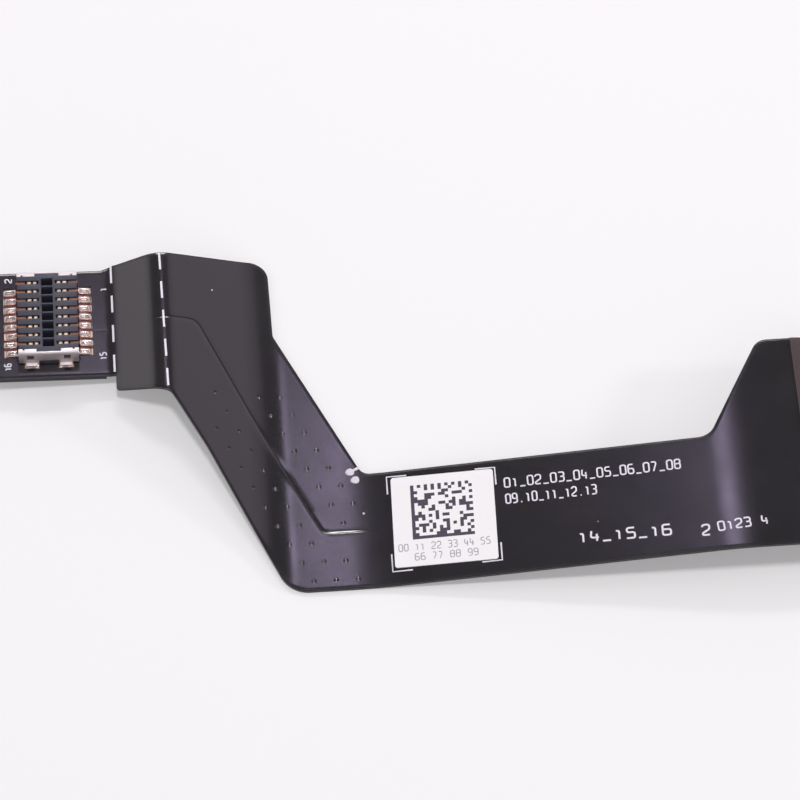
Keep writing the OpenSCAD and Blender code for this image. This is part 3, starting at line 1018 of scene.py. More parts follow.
    def _skin_points(self, outline: Array, holes: list[Array]) -> Array:
        """Points inside an outline: rows along its edge and the gap, rings round the vias and
        a grid in between.

        Args:
            outline: the skin's loop.
            holes: loops of its windows.

        Returns:
            Points clear of the loops and of each other.
        """
        rows = [outline + d * normals(outline, True) for d in self.edge_rows]
        kept = [row[distance(row, outline, True) > d * 0.9]
                for row, d in zip(rows, self.edge_rows)]
        for d in self.groove_rows:
            for side in (1, -1) if d else (1,):
                kept.append(self.gap + side * d * normals(self.gap, False))
        angles = np.arange(self.ring_points) * 2 * math.pi / self.ring_points
        ring = np.stack([np.cos(angles), np.sin(angles)], axis=1)
        for share in self.dimple_rings:
            for via in self.vias:
                kept.append(via + (ring if share else ring[:1]) * self.dimple_r * share)
        fine = np.concatenate(kept)
        step = self.point_step
        low, high = outline.min(axis=0), outline.max(axis=0)
        xs, ys = np.arange(low[0], high[0], step), np.arange(low[1], high[1], step)
        grid = np.stack(np.meshgrid(xs, ys), axis=2)
        grid[1::2, :, 0] += step / 2
        coarse = grid.reshape(-1, 2)
        coarse = coarse[distance(coarse, outline, True) > self.edge_rows[-1] + step * 0.4]
        coarse = coarse[distance(coarse, self.gap, False) > self.groove_rows[-1] + step * 0.4]
        off = np.sqrt(((coarse[:, None] - self.vias[None]) ** 2).sum(axis=2)).min(axis=1)
        coarse = coarse[off > self.dimple_r * 1.2 + step * 0.3]
        points = np.concatenate([fine, coarse])
        points = points[inside(points, outline)]
        points = points[distance(points, outline, True) > self.edge_rows[0] * 0.8]
        for hole in holes:
            points = points[~inside(points, hole) & (distance(points, hole, True) > 0.05)]
        cells = np.round(points / self.merge_step).astype(int)
        return points[np.sort(np.unique(cells, axis=0, return_index=True)[1])]

    def _triangles(self, outline: Array, holes: list[Array]) -> tuple[Array, Array]:
        """Fills a plan shape with small triangles.

        Args:
            outline: the shape's loop.
            holes: loops of its windows.

        Returns:
            The plan points and the triangles.
        """
        loops = [outline, *holes]
        points = np.concatenate([*loops, self._skin_points(outline, holes)])
        edges, start = [], 0
        for loop in loops:
            count = len(loop)
            edges += [(start + i, start + (i + 1) % count) for i in range(count)]
            start += count
        found = delaunay_2d_cdt([Vector(p) for p in points], edges, [], 0, 1e-7, False)
        plan = np.array([tuple(v) for v in found[0]])
        faces = np.array([f for f in found[2]])
        middle = plan[faces].mean(axis=1)
        wanted = inside(middle, outline)
        for hole in holes:
            wanted &= ~inside(middle, hole)
        return plan, faces[wanted]

    def skin(self, name: str, side: Side, low: float, high: float, finish: Finish,
             outline: Array | None = None, holes: list[Array] | None = None,
             whole_fall: bool = False) -> bpy.types.Object:
        """Builds a closed film on the sheet with the relief pressed into its outer face.

        Args:
            name: the piece's name.
            side: which face is the outer one.
            low: lift of its lower face over the sheet's underside.
            high: lift of its upper face.
            finish: its material.
            outline: its loop, or None for the sheet's own.
            holes: loops of its windows.
            whole_fall: whether its inner face follows the relief too.

        Returns:
            The closed film.
        """
        outline = self.outline if outline is None else outline
        plan, faces = self._triangles(outline, holes or [])
        first, second, third = plan[faces.T]
        area = np.cross(second - first, third - first)
        faces[area < 0] = faces[area < 0][:, ::-1]
        outer_lift, inner_lift = (high, low) if side is Side.FRONT else (low, high)
        outer = self.form.place(plan[:, 0], plan[:, 1], outer_lift)
        outer_faces = faces if side is Side.FRONT else faces[:, ::-1]
        face = self._pressed(name, outer, outer_faces, outer_lift, side, finish)
        pressed = coordinates(face)
        inner = self.form.place(plan[:, 0], plan[:, 1], inner_lift)
        if whole_fall:
            inner = inner + (pressed - outer)
        bpy.data.objects.remove(face)
        return self._closed(name, pressed, inner, outer_faces, finish)

    def _pressed(self, name: str, coords: Array, faces: Array, lift: float, side: Side,
                 finish: Finish) -> bpy.types.Object:
        """Runs the relief tool on an open face of the sheet.

        Args:
            name: the face's name.
            coords: its places in metres.
            faces: its triangles.
            lift: its lift over the sheet's underside.
            side: which face of the sheet it is.
            finish: its material.

        Returns:
            The pressed face.
        """
        sheet = mesh_object(name, coords, faces)
        helpers = [
            line_object("gap_line", self.form.place(*self.gap.T, lift)),
            line_object("via_points", self.form.place(*self.vias.T, lift)),
            line_object("edge_line", self.form.place(*self.outline.T, lift), closed=True)]
        made = self.relief.apply(sheet, {
            "Gap line": helpers[0], "Groove half": self.groove_half * MM,
            "Groove depth": self.groove_depth * MM, "Vias": helpers[1],
            "Dimple radius": self.dimple_r * MM, "Dimple depth": self.dimple_depth * MM,
            "Edge line": helpers[2], "Edge width": self.edge_w * MM,
            "Edge fall": self.edge_fall * MM, "Inward": -float(side.value),
            "Clear middle": (self.groove_clear[0] - self.form.length / 2) * MM,
            "Clear from": self.groove_clear[1] * MM, "Clear to": self.groove_clear[2] * MM,
            "Material": finish.material()})
        for helper in helpers:
            bpy.data.objects.remove(helper)
        return made

    @staticmethod
    def _closed(name: str, outer: Array, inner: Array, faces: Array,
                finish: Finish) -> bpy.types.Object:
        """Joins an outer and an inner face with walls along every open edge.

        Args:
            name: the film's name.
            outer: the outer face's places in metres.
            inner: the inner face's places, in the same order.
            faces: the outer face's triangles.
            finish: the film's material.

        Returns:
            The closed film.
        """
        count = len(outer)
        sides = np.concatenate([faces[:, [0, 1]], faces[:, [1, 2]], faces[:, [2, 0]]])
        known = {(a, b) for a, b in sides.tolist()}
        walls = [(b, a, a + count, b + count) for a, b in known if (b, a) not in known]
        every = faces.tolist() + (faces[:, ::-1] + count).tolist() + sorted(walls)
        made = mesh_object(name, np.concatenate([outer, inner]), every, finish)
        shade(made, 50)
        return made


# ---------------------------------------------------------------- the connector


def box_loop(x: tuple[float, float], y: tuple[float, float]) -> Array:
    """Finds the corners of an upright rectangle.

    Args:
        x: its ends along the cable.
        y: its ends across the cable.

    Returns:
        The corners, in order.
    """
    return np.array([(x[0], y[0]), (x[1], y[0]), (x[1], y[1]), (x[0], y[1])])


@dataclass
class Connector:
    """The board connector's solder, softened metal and plastic, in its own tilted frame."""

    form: SheetForm
    x: float = 6.7
    y: float = 30.75
    rows: int = 8
    pitch: float = 1.0
    plate_t: float = 0.2
    pad_x: tuple[float, float] = (2.85, 4.3)
    pad_top: float = -0.08
    foot_x: tuple[float, float] = (1.05, 2.25)
    lump_x: tuple[float, float] = (2.92, 4.28)
    lump_w: float = 0.72
    window_y: float = 0.5
    window_gap: float = 0.1
    foot_in: float = 0.5
    foot_out: float = 0.15
    edge_degrees: float = 35

    def __post_init__(self) -> None:
        """Works out where the connector stands on the coverlay."""
        self.turn = math.atan(self.form.panel_slope)
        self.base_x = self.x - self.form.thickness * math.sin(self.turn)
        self.base_z = (float(self.form.height(np.array([self.x]))[0])
                       + self.form.thickness * math.cos(self.turn))
        self.foot_y = (self.rows + 1) * self.pitch / 2 + self.plate_t + 0.3

    def place(self, local: Array) -> Array:
        """Turns the connector's own millimetres into the frame's metres.

        Args:
            local: places from the middle of the connector's foot, one row each.

        Returns:
            Places in the frame.
        """
        x, y, z = local.T
        level, upright = math.cos(self.turn), math.sin(self.turn)
        return np.stack([self.base_x + x * level - z * upright - self.form.length / 2,
                         self.y + y - self.form.far_y / 2,
                         self.base_z + x * upright + z * level], axis=1) * MM

    def plan_loop(self, loop: Array) -> Array:
        """Moves a loop from the connector's own x and y to the sheet's plan.

        Args:
            loop: the loop's points about the connector's middle.

        Returns:
            The plan loop.
        """
        return np.stack([self.base_x + loop[:, 0] * math.cos(self.turn), self.y + loop[:, 1]],
                        axis=1)

    def windows(self) -> list[Array]:
        """The coverlay's openings over the pads and the hold-down lands.

        Returns:
            Six plan loops.
        """
        gap = self.window_gap
        reach = (self.rows - 1) * self.pitch / 2 + self.window_y
        ends = (self.foot_y - self.foot_in - gap, self.foot_y + self.foot_out + gap)
        feet = (self.foot_x[0] - 2 * gap, self.foot_x[1] + 2 * gap)
        loops = []
        for sx in (-1, 1):
            loops.append(box_loop(self.pad_x, (-reach, reach)) * (sx, 1))
            loops += [box_loop(feet, ends) * (sx, sy) for sy in (-1, 1)]
        return [self.plan_loop(divided(loop, EDGE_STEP, closed=True)) for loop in loops]

    def _lump(self, name: str, x: tuple[float, float], width: float,
              profile: Callable[[Array], Array], step: int = 14) -> bpy.types.Object:
        """A frozen lump: a rounded cushion that thins to its rim.

        Args:
            name: the helper's name.
            x: where it starts and ends along its length.
            width: across it.
            profile: height over the pad at each share of the length.
            step: cells along it and across it.

        Returns:
            A closed helper mesh in the connector's own millimetres, centred across.
        """
        u, v = np.meshgrid(np.linspace(0, 1, step + 1), np.linspace(-1, 1, step + 1),
                           indexing="ij")
        rim = np.sqrt(np.clip(1 - np.abs(v) ** 2.6, 0, 1)) * np.clip(
            1 - np.maximum(2 * u - 1, 0) ** 5, 0, 1) ** 0.5
        squeeze = 1 - 0.12 * np.maximum(2 * u - 1, 0) ** 4
        top = np.stack([x[0] + (x[1] - x[0]) * u, v * width / 2 * squeeze,
                        self.pad_top + profile(u) * rim], axis=2).reshape(-1, 3)
        base = top.copy()
        base[:, 2] = self.pad_top - 0.005
        count, side = len(top), step + 1
        cells = [(i * side + j, (i + 1) * side + j, (i + 1) * side + j + 1, i * side + j + 1)
                 for i in range(step) for j in range(step)]
        faces = cells + [tuple(n + count for n in reversed(cell)) for cell in cells]
        edge = ([i * side for i in range(side)] + [step * side + j for j in range(1, side)]
                + [i * side + step for i in range(step - 1, -1, -1)]
                + [j for j in range(step - 1, 0, -1)])
        faces += [(b, a, a + count, b + count)
                  for a, b in zip(edge, edge[1:] + edge[:1])]
        return mesh_object(name, np.concatenate([top, base]), faces)

    @staticmethod
    def _row_tool() -> NodeTool:
        """Geometry Nodes that set one lump on each place of an even row.

        Returns:
            The tool.
        """
        tool = NodeTool("lump_row", {"Lump": "NodeSocketObject", "Count": "NodeSocketInt",
                                     "Pitch": "NodeSocketFloat", "Material": "NodeSocketMaterial"})
        lump = tool.add("GeometryNodeObjectInfo", {"Object": tool.source["Lump"]})
        step = tool.add("ShaderNodeCombineXYZ", {"Y": tool.source["Pitch"]})
        line = tool.add("GeometryNodeMeshLine", {"Count": tool.source["Count"],
                                                 "Offset": step.outputs["Vector"]})
        turn = tool.add("FunctionNodeRandomValue", {"Min": (0.96, 0.96, 0.86),
                                                    "Max": (1.03, 1.04, 1.12), "Seed": 5},
                        data_type="FLOAT_VECTOR")
        row = tool.add("GeometryNodeInstanceOnPoints",
                       {"Points": line.outputs["Mesh"], "Instance": lump.outputs["Geometry"],
                        "Scale": turn.outputs[0]})
        tool.end(row.outputs["Instances"])
        return tool

    def _rows_of(self, name: str, lump: bpy.types.Object, count: int, pitch: float,
                 start: Array, flip: tuple[float, float]) -> bpy.types.Object:
        """Sets a row of lumps in the frame, mirrored as asked.

        Args:
            name: the piece's name.
            lump: the helper that is repeated; it is used up.
            count: how many.
            pitch: from one to the next, across the cable.
            start: where the first one stands.
            flip: factors for x and y, either 1 or -1.

        Returns:
            The row.
        """
        row = self._row_tool().make(name, {"Lump": lump, "Count": count, "Pitch": pitch,
                                           "Material": SOLDER.material()})
        bpy.data.objects.remove(lump)
        set_coordinates(row, self.place((coordinates(row) + start) * (*flip, 1)))
        if flip[0] * flip[1] < 0:
            row.data.flip_normals()
        shade(row, 60)
        return row

    def solder(self) -> None:
        """A lump over each tail and pad, and one against each hold-down foot."""
        def climb(u: Array) -> Array:
            """High against the contact's post, level over the tail, low at the outer end."""
            return 0.34 + 0.24 * np.exp(-u / 0.09) - 0.12 * u ** 2

        start = np.array([0, -(self.rows - 1) * self.pitch / 2, 0])
        for name, side in (("solder_left", -1), ("solder_right", 1)):
            lump = self._lump("lump", self.lump_x, self.lump_w, climb)
            row = self._rows_of(f"{name}_lumps", lump, self.rows, self.pitch, start, (side, 1))
            keep(row, [name])
        feet = []
        for sx, sy in ((-1, -1), (-1, 1), (1, -1), (1, 1)):
            lump = self._lump("lump", (0, 0.3), self.foot_x[1] - self.foot_x[0] + 0.14,
                              lambda u: 0.2 * (1 - u) ** 1.4 + 0.03)
            flat = coordinates(lump)
            middle = sum(self.foot_x) / 2
            turned = np.stack([middle - flat[:, 1], flat[:, 0], flat[:, 2]], axis=1)
            set_coordinates(lump, turned)
            feet.append(self._rows_of("foot", lump, 1, 1.0,
                                      np.array([0, self.foot_y - 0.1, 0]), (sx, sy)))
        keep(joined("solder_foot_lumps", feet), ["solder_hold_down"])

    def softened(self, frame: dict, node: str, finish: Finish, width: float) -> None:
        """Replaces a sharp CAD node by a copy with its edges rounded as moulding or pressing
        leaves them.

        Args:
            frame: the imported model.
            node: the CAD node.
            finish: its material.
            width: how far the rounding reaches, in millimetres.
        """
        mesh = frame["nodes"][node].data.copy()
        shape = bmesh.new()
        shape.from_mesh(mesh)
        bmesh.ops.remove_doubles(shape, verts=shape.verts, dist=1e-6)
        bmesh.ops.dissolve_limit(shape, angle_limit=math.radians(1), verts=shape.verts,
                                 edges=shape.edges)
        shape.to_mesh(mesh)
        shape.free()
        mesh.materials.clear()
        mesh.materials.append(finish.material())
        made = linked(f"{node}_softened", mesh)
        bevel = made.modifiers.new("edges", "BEVEL")
        bevel.width = width * MM
        bevel.segments = 2
        bevel.limit_method = "ANGLE"
        bevel.angle_limit = math.radians(self.edge_degrees)
        piece = settled(made)
        shade(piece, self.edge_degrees)
        keep(piece, [node])


def joined(name: str, parts: list[bpy.types.Object]) -> bpy.types.Object:
    """Joins several finished meshes of one material into one object.

    Args:
        name: the new object's name.
        parts: the meshes, which this call uses up.

    Returns:
        The joined object.
    """
    shape = bmesh.new()
    for part in parts:
        shape.from_mesh(part.data)
    mesh = bpy.data.meshes.new(name)
    shape.to_mesh(mesh)
    shape.free()
    for material in parts[0].data.materials:
        mesh.materials.append(material)
    for part in parts:
        bpy.data.objects.remove(part)
    return linked(name, mesh)


# ---------------------------------------------------------------- print


# Counting digits as pen strokes in a box 0.6 wide and 1 high, and the step to the next one.
DIGIT_WIDTH = 0.6
DIGIT_STEP = 0.88
DIGIT_STROKES: dict[str, list[list[Point]]] = {
    "0": [[(0.3, 0), (0.6, 0), (0.6, 1), (0, 1), (0, 0), (0.3, 0)]],
    "1": [[(0.12, 0.78), (0.34, 1), (0.34, 0)]],
    "2": [[(0, 0.8), (0, 1), (0.6, 1), (0.6, 0.55), (0, 0.2), (0, 0), (0.6, 0)]],
    "3": [[(0, 1), (0.6, 1), (0.6, 0.53), (0.2, 0.53)],
          [(0.45, 0.53), (0.6, 0.5), (0.6, 0), (0, 0)]],
    "4": [[(0.08, 1), (0, 0.35), (0.6, 0.35)], [(0.46, 0.7), (0.46, 0)]],
    "5": [[(0.57, 1), (0.03, 1), (0.03, 0.56), (0.6, 0.56), (0.6, 0), (0, 0)]],
    "6": [[(0.55, 1), (0, 1), (0, 0), (0.6, 0), (0.6, 0.55), (0, 0.55)]],
    "7": [[(0, 1), (0.6, 1), (0.2, 0)]],
    "8": [[(0.1, 0.53), (0, 0.53), (0, 1), (0.6, 1), (0.6, 0.53), (0.1, 0.53)],
          [(0.1, 0.53), (0, 0.53), (0, 0), (0.6, 0), (0.6, 0.53), (0.5, 0.53)]],
    "9": [[(0.05, 0), (0.6, 0), (0.6, 1), (0, 1), (0, 0.45), (0.6, 0.45)]],
    "_": [[(0, -0.04), (0.6, -0.04)]],
    ".": [[(0.22, 0.02), (0.38, 0.02)]],
}


@dataclass(frozen=True)
class Words:
    """A line of counting digits from one end of its baseline to the other."""

    digits: str
    start: Point
    end: Point
    height: float = 1.0
    stroke: float = 0.15

    def strokes(self) -> list[Array]:
        """Sets the digits' strokes along the baseline.

        Returns:
            The pen's paths in plan millimetres.
        """
        start, end = np.array(self.start), np.array(self.end)
        across = end - start
        units = len(self.digits) * DIGIT_STEP - (DIGIT_STEP - DIGIT_WIDTH)
        up = np.array([-across[1], across[0]]) / np.linalg.norm(across) * self.height
        paths = []
        for place, digit in enumerate(self.digits):
            for stroke in DIGIT_STROKES.get(digit, []):
                path = np.array(stroke)
                paths.append(start + (path[:, :1] + place * DIGIT_STEP) / units * across
                             + path[:, 1:] * up)
        return paths


class Pen:
    """Geometry Nodes that draw flat strokes of ink along paths, with rounded corners."""

    def __init__(self) -> None:
        """Makes the tree."""
        tool = NodeTool("pen_strokes", {"Stroke width": "NodeSocketFloat",
                                        "Ink height": "NodeSocketFloat",
                                        "Corner radius": "NodeSocketFloat",
                                        "Material": "NodeSocketMaterial"})
        path = tool.add("GeometryNodeMeshToCurve", {"Mesh": tool.source["Geometry"]})
        soft = tool.add("GeometryNodeFilletCurve",
                        {"Curve": path.outputs["Curve"], "Count": 5, "Limit Radius": True,
                         "Radius": tool.source["Corner radius"]}, mode="POLY")
        level = tool.add("GeometryNodeSetCurveNormal", {"Curve": soft.outputs["Curve"]},
                         mode="Z_UP")
        nib = tool.add("GeometryNodeCurvePrimitiveQuadrilateral",
                       {"Width": tool.source["Stroke width"],
                        "Height": tool.source["Ink height"]})
        ink = tool.add("GeometryNodeCurveToMesh",
                       {"Curve": level.outputs["Curve"], "Profile Curve": nib.outputs["Curve"],
                        "Fill Caps": True})
        tool.end(ink.outputs["Mesh"])
        self.tool = tool

    def draw(self, name: str, paths: list[Array], width: float, height: float, radius: float,
             finish: Finish) -> bpy.types.Object:
        """Draws paths as one flat piece in plan millimetres.

        Args:
            name: the piece's name.
            paths: plan points of each stroke.
            width: the stroke's width.
            height: the ink's thickness.
            radius: how far corners are rounded.
            finish: the ink.

        Returns:
            The flat mesh object.
        """
        coords, edges = [], []
        for path in paths:
            first = len(coords)
            coords += [(x, y, 0.0) for x, y in path]
            edges += [(first + i, first + i + 1) for i in range(len(path) - 1)]
        mesh = bpy.data.meshes.new(name)
        mesh.from_pydata(coords, edges, [])
        return self.tool.apply(linked(name, mesh), {
            "Stroke width": width, "Ink height": height, "Corner radius": radius,
            "Material": finish.material()})


@dataclass
class SilkPrint:
    """The white print: fold dashes, pin numbers, the label's corner marks and digits."""

    form: SheetForm
    skin: bpy.types.Object
    ink_h: float = 0.014
    dash_w: float = 0.2
    dash_len: float = 1.95
    fold_1: tuple[Point, Point] = ((13.03, 36.0), (13.03, 25.76))
    fold_1_count: int = 4
    fold_2: tuple[Point, Point] = ((17.93, 36.03), (18.19, 22.71))
    fold_2_count: int = 5
    corner_arm: float = 1.9
    corner_w: float = 0.15
    corners: tuple[Point, ...] = ((38.58, 11.77), (48.95, 11.52), (48.88, 1.41), (38.50, 1.41))

    def __post_init__(self) -> None:
        """Finds the skin's surface and makes the pen."""
        graph = bpy.context.evaluated_depsgraph_get()
        self.surface = BVHTree.FromObject(self.skin, graph)
        self.pen = Pen()

    def lay(self, piece: bpy.types.Object, extra: float = 0.0) -> bpy.types.Object:
        """Lays a flat piece on the skin, relief and all.

        Args:
            piece: flat, in plan millimetres, its z about the middle of the ink.
            extra: how far over the skin its z = 0 lies, in millimetres.

        Returns:
            The piece, in the frame's metres.
        """
        flat = coordinates(piece)
        level = self.form.place(flat[:, 0], flat[:, 1], self.form.thickness)
        for row, z in zip(level, flat[:, 2]):
            hit = self.surface.ray_cast(Vector((row[0], row[1], 0.02)), Vector((0, 0, -1)))[0]
            row[2] = (hit.z if hit else row[2]) + (z + extra) * MM
        set_coordinates(piece, level)
        return piece

    def folds(self) -> None:
        """Dashes along the two folds: bars set on an even line of points."""
        tool = NodeTool("dash_line", {
            "Count": "NodeSocketInt", "First": "NodeSocketVector", "Step": "NodeSocketVector",
            "Dash length": "NodeSocketFloat", "Dash width": "NodeSocketFloat",
            "Ink height": "NodeSocketFloat", "Turn": "NodeSocketFloat",
            "Material": "NodeSocketMaterial"})
        line = tool.add("GeometryNodeMeshLine", {"Count": tool.source["Count"],
                                                 "Start Location": tool.source["First"],
                                                 "Offset": tool.source["Step"]})
        size = tool.add("ShaderNodeCombineXYZ", {"X": tool.source["Dash width"],
                                                 "Y": tool.source["Dash length"],
                                                 "Z": tool.source["Ink height"]})
        bar = tool.add("GeometryNodeMeshCube", {"Size": size.outputs["Vector"],
                                                "Vertices X": 3, "Vertices Y": 13})
        turn = tool.add("ShaderNodeCombineXYZ", {"Z": tool.source["Turn"]})
        dashes = tool.add("GeometryNodeInstanceOnPoints",
                          {"Points": line.outputs["Mesh"], "Instance": bar.outputs["Mesh"],
                           "Rotation": turn.outputs["Vector"]})
        tool.end(dashes.outputs["Instances"])
        for name, (first, last), count in (("fold_dashes_1", self.fold_1, self.fold_1_count),
                                           ("fold_dashes_2", self.fold_2, self.fold_2_count)):
            a, b = np.array(first), np.array(last)
            step = (b - a) / (count - 1)
            piece = tool.make(name, {
                "Count": count, "First": (*a, 0.0), "Step": (*step, 0.0),
                "Dash length": self.dash_len, "Dash width": self.dash_w,
                "Ink height": self.ink_h, "Turn": math.atan2(step[0], -step[1]),
                "Material": SILK_INK.material()})
            keep(self.lay(piece))

    def label_corners(self) -> None:
        """An angle of fine line round each corner of the label's place."""
        paths = []
        for n, corner in enumerate(self.corners):
            here = np.array(corner)
            before, after = (np.array(self.corners[(n + d) % 4]) for d in (-1, 1))
            arms = [here + (far - here) / np.linalg.norm(far - here) * self.corner_arm
                    for far in (before, after)]
            paths.append(np.array([arms[0], here, arms[1]]))
        piece = self.pen.draw("label_corner_marks", paths, self.corner_w, self.ink_h, 0.0,
                              SILK_INK)
        keep(self.lay(piece))

    def words(self, name: str, lines: Sequence[Words]) -> None:
        """Draws lines of digits as one piece.

        Args:
            name: the piece's name.
            lines: the lines, all of one height and stroke.
        """
        paths = [path for line in lines for path in line.strokes()]
        piece = self.pen.draw(name, paths, lines[0].stroke, self.ink_h,
                              0.18 * lines[0].height, SILK_INK)
        keep(self.lay(piece))

    def build(self) -> None:
        """Prints everything."""
        self.folds()
        self.label_corners()
        self.words("counting_digits", [
            Words("01_02_03_04_05_06_07_08", (49.75, 9.20), (66.5, 9.16)),
            Words("09.10_11_12.13", (49.75, 7.43), (58.35, 7.42))])
        self.words("wide_digits", [Words("14_15_16", (56.2, 2.35), (64.9, 2.12), 1.1, 0.19)])
        self.words("end_digits", [Words("2", (67.85, 1.65), (68.5, 1.65), 1.1, 0.19)])
        self.words("date_digits", [Words("0123 4", (69.4, 1.95), (74.1, 2.28), 0.95, 0.16)])
        self.words("pin_numbers", [
            Words("2", (3.26, 35.47), (3.26, 35.87), 0.62, 0.13),
            Words("16", (3.03, 25.36), (3.03, 26.12), 0.62, 0.13),
            Words("1", (12.52, 34.12), (12.52, 34.55), 0.62, 0.13),
            Words("15", (12.28, 26.28), (12.28, 27.04), 0.62, 0.13)])


# The sums that choose the code field's dark cells: name, operation and its two inputs. Column
# and row count the cells from the field's corner; the first ones are dark, the last ones (the
# rim) are dark where column and row make an odd sum, and a seeded share of the others is dark.
CELL_SUMS: tuple[tuple[str, str, str | float, str | float], ...] = (
    ("cell", "DIVIDE", "side", "cells"),
    ("spread", "SUBTRACT", "side", "cell"),
    ("half", "DIVIDE", "side", 2.0),
    ("from left", "ADD", "x", "half"),
    ("columns", "DIVIDE", "from left", "cell"),
    ("column", "FLOOR", "columns", 0.0),
    ("from near", "ADD", "y", "half"),
    ("rows", "DIVIDE", "from near", "cell"),
    ("row", "FLOOR", "rows", 0.0),
    ("last", "SUBTRACT", "cells", 1.5),
    ("first column", "LESS_THAN", "column", 0.5),
    ("first row", "LESS_THAN", "row", 0.5),
    ("full", "MAXIMUM", "first column", "first row"),
    ("last column", "GREATER_THAN", "column", "last"),
    ("last row", "GREATER_THAN", "row", "last"),
    ("rim", "MAXIMUM", "last column", "last row"),
    ("sum", "ADD", "column", "row"),
    ("parity", "MODULO", "sum", 2.0),
    ("odd", "GREATER_THAN", "parity", 0.5),
    ("dotted", "MULTIPLY", "rim", "odd"),
    ("scatter", "LESS_THAN", "chance", "share"),
    ("off rim", "SUBTRACT", 1.0, "rim"),
    ("inner", "MULTIPLY", "scatter", "off rim"),
    ("dark", "MAXIMUM", "dotted", "inner"),
    ("shown", "MAXIMUM", "full", "dark"),
    ("chosen", "GREATER_THAN", "shown", 0.5),
)


@dataclass
class CodeLabel:
    """The white label's own print: a made-up field of square cells and two lines of digits."""

    form: SheetForm
    centre: Point = (43.75, 6.55)
    turn: float = -1.2
    top: float = 0.5
    cells: int = 18
    field_side: float = 5.9
    field_at: Point = (-0.13, 0.92)
    dark_share: float = 0.42
    ink_h: float = 0.008
    corner_r: float = 0.16
    seed: int = 23

    def _cell_tool(self) -> NodeTool:
        """Geometry Nodes that set square cells: two full sides, two dotted sides and a seeded
        scatter between them.

        Returns:
            The tool.
        """
        tool = NodeTool("cell_field", {
            "Cells": "NodeSocketInt", "Field side": "NodeSocketFloat",
            "Ink height": "NodeSocketFloat", "Share": "NodeSocketFloat",
            "Seed": "NodeSocketInt", "Material": "NodeSocketMaterial"})

        place = tool.add("GeometryNodeInputPosition")
        axes = tool.add("ShaderNodeSeparateXYZ", {"Vector": place.outputs["Position"]})
        chance = tool.add("FunctionNodeRandomValue", {"Seed": tool.source["Seed"]},
                          data_type="FLOAT")
        found: dict[str | float, object] = {
            "side": tool.source["Field side"], "cells": tool.source["Cells"],
            "share": tool.source["Share"], "chance": chance.outputs[1],
            "x": axes.outputs["X"], "y": axes.outputs["Y"]}
        for name, operation, first, second in CELL_SUMS:
            made = tool.add("ShaderNodeMath", {0: found.get(first, first),
                                               1: found.get(second, second)},
                            operation=operation)
            found[name] = made.outputs["Value"]
        grid = tool.add("GeometryNodeMeshGrid", {
            "Size X": found["spread"], "Size Y": found["spread"],
            "Vertices X": tool.source["Cells"], "Vertices Y": tool.source["Cells"]})
        size = tool.add("ShaderNodeCombineXYZ", {"X": found["cell"], "Y": found["cell"],
                                                 "Z": tool.source["Ink height"]})
        bar = tool.add("GeometryNodeMeshCube", {"Size": size.outputs["Vector"]})
        cells = tool.add("GeometryNodeInstanceOnPoints",
                         {"Points": grid.outputs["Mesh"], "Instance": bar.outputs["Mesh"],
                          "Selection": found["chosen"]})
        tool.end(cells.outputs["Instances"])
        return tool

    def _stick(self, piece: bpy.types.Object, at: Point) -> None:
        """Turns a flat piece with the label, lays it on the label's face and keeps it.

        Args:
            piece: flat, in millimetres about the label's middle.
            at: where its origin goes.
        """
        flat = coordinates(piece) + (*at, 0)
        turn = math.radians(self.turn)
        x = self.centre[0] + flat[:, 0] * math.cos(turn) - flat[:, 1] * math.sin(turn)
        y = self.centre[1] + flat[:, 0] * math.sin(turn) + flat[:, 1] * math.cos(turn)
        set_coordinates(piece, self.form.place(x, y, self.top + self.ink_h / 4 + flat[:, 2]))
        keep(piece)

    def build(self, pen: Pen) -> None:
        """Prints the field and the two lines of fine digits.

        Args:
            pen: the stroke tool.
        """
        cells = self._cell_tool().make("code_cells", {
            "Cells": self.cells, "Field side": self.field_side, "Ink height": self.ink_h,
            "Share": self.dark_share, "Seed": self.seed, "Material": CODE_INK.material()})
        self._stick(cells, self.field_at)
        lines = [Words("00 11 22 33 44 55", (-4.45, -3.2), (4.2, -3.2), 0.74, 0.09),
                 Words("66 77 88 99", (-2.95, -4.28), (3.0, -4.28), 0.72, 0.09)]
        digits = pen.draw("label_digits", [p for line in lines for p in line.strokes()],
                          lines[0].stroke, self.ink_h, self.corner_r, HAIR_INK)
        self._stick(digits, (0, 0))


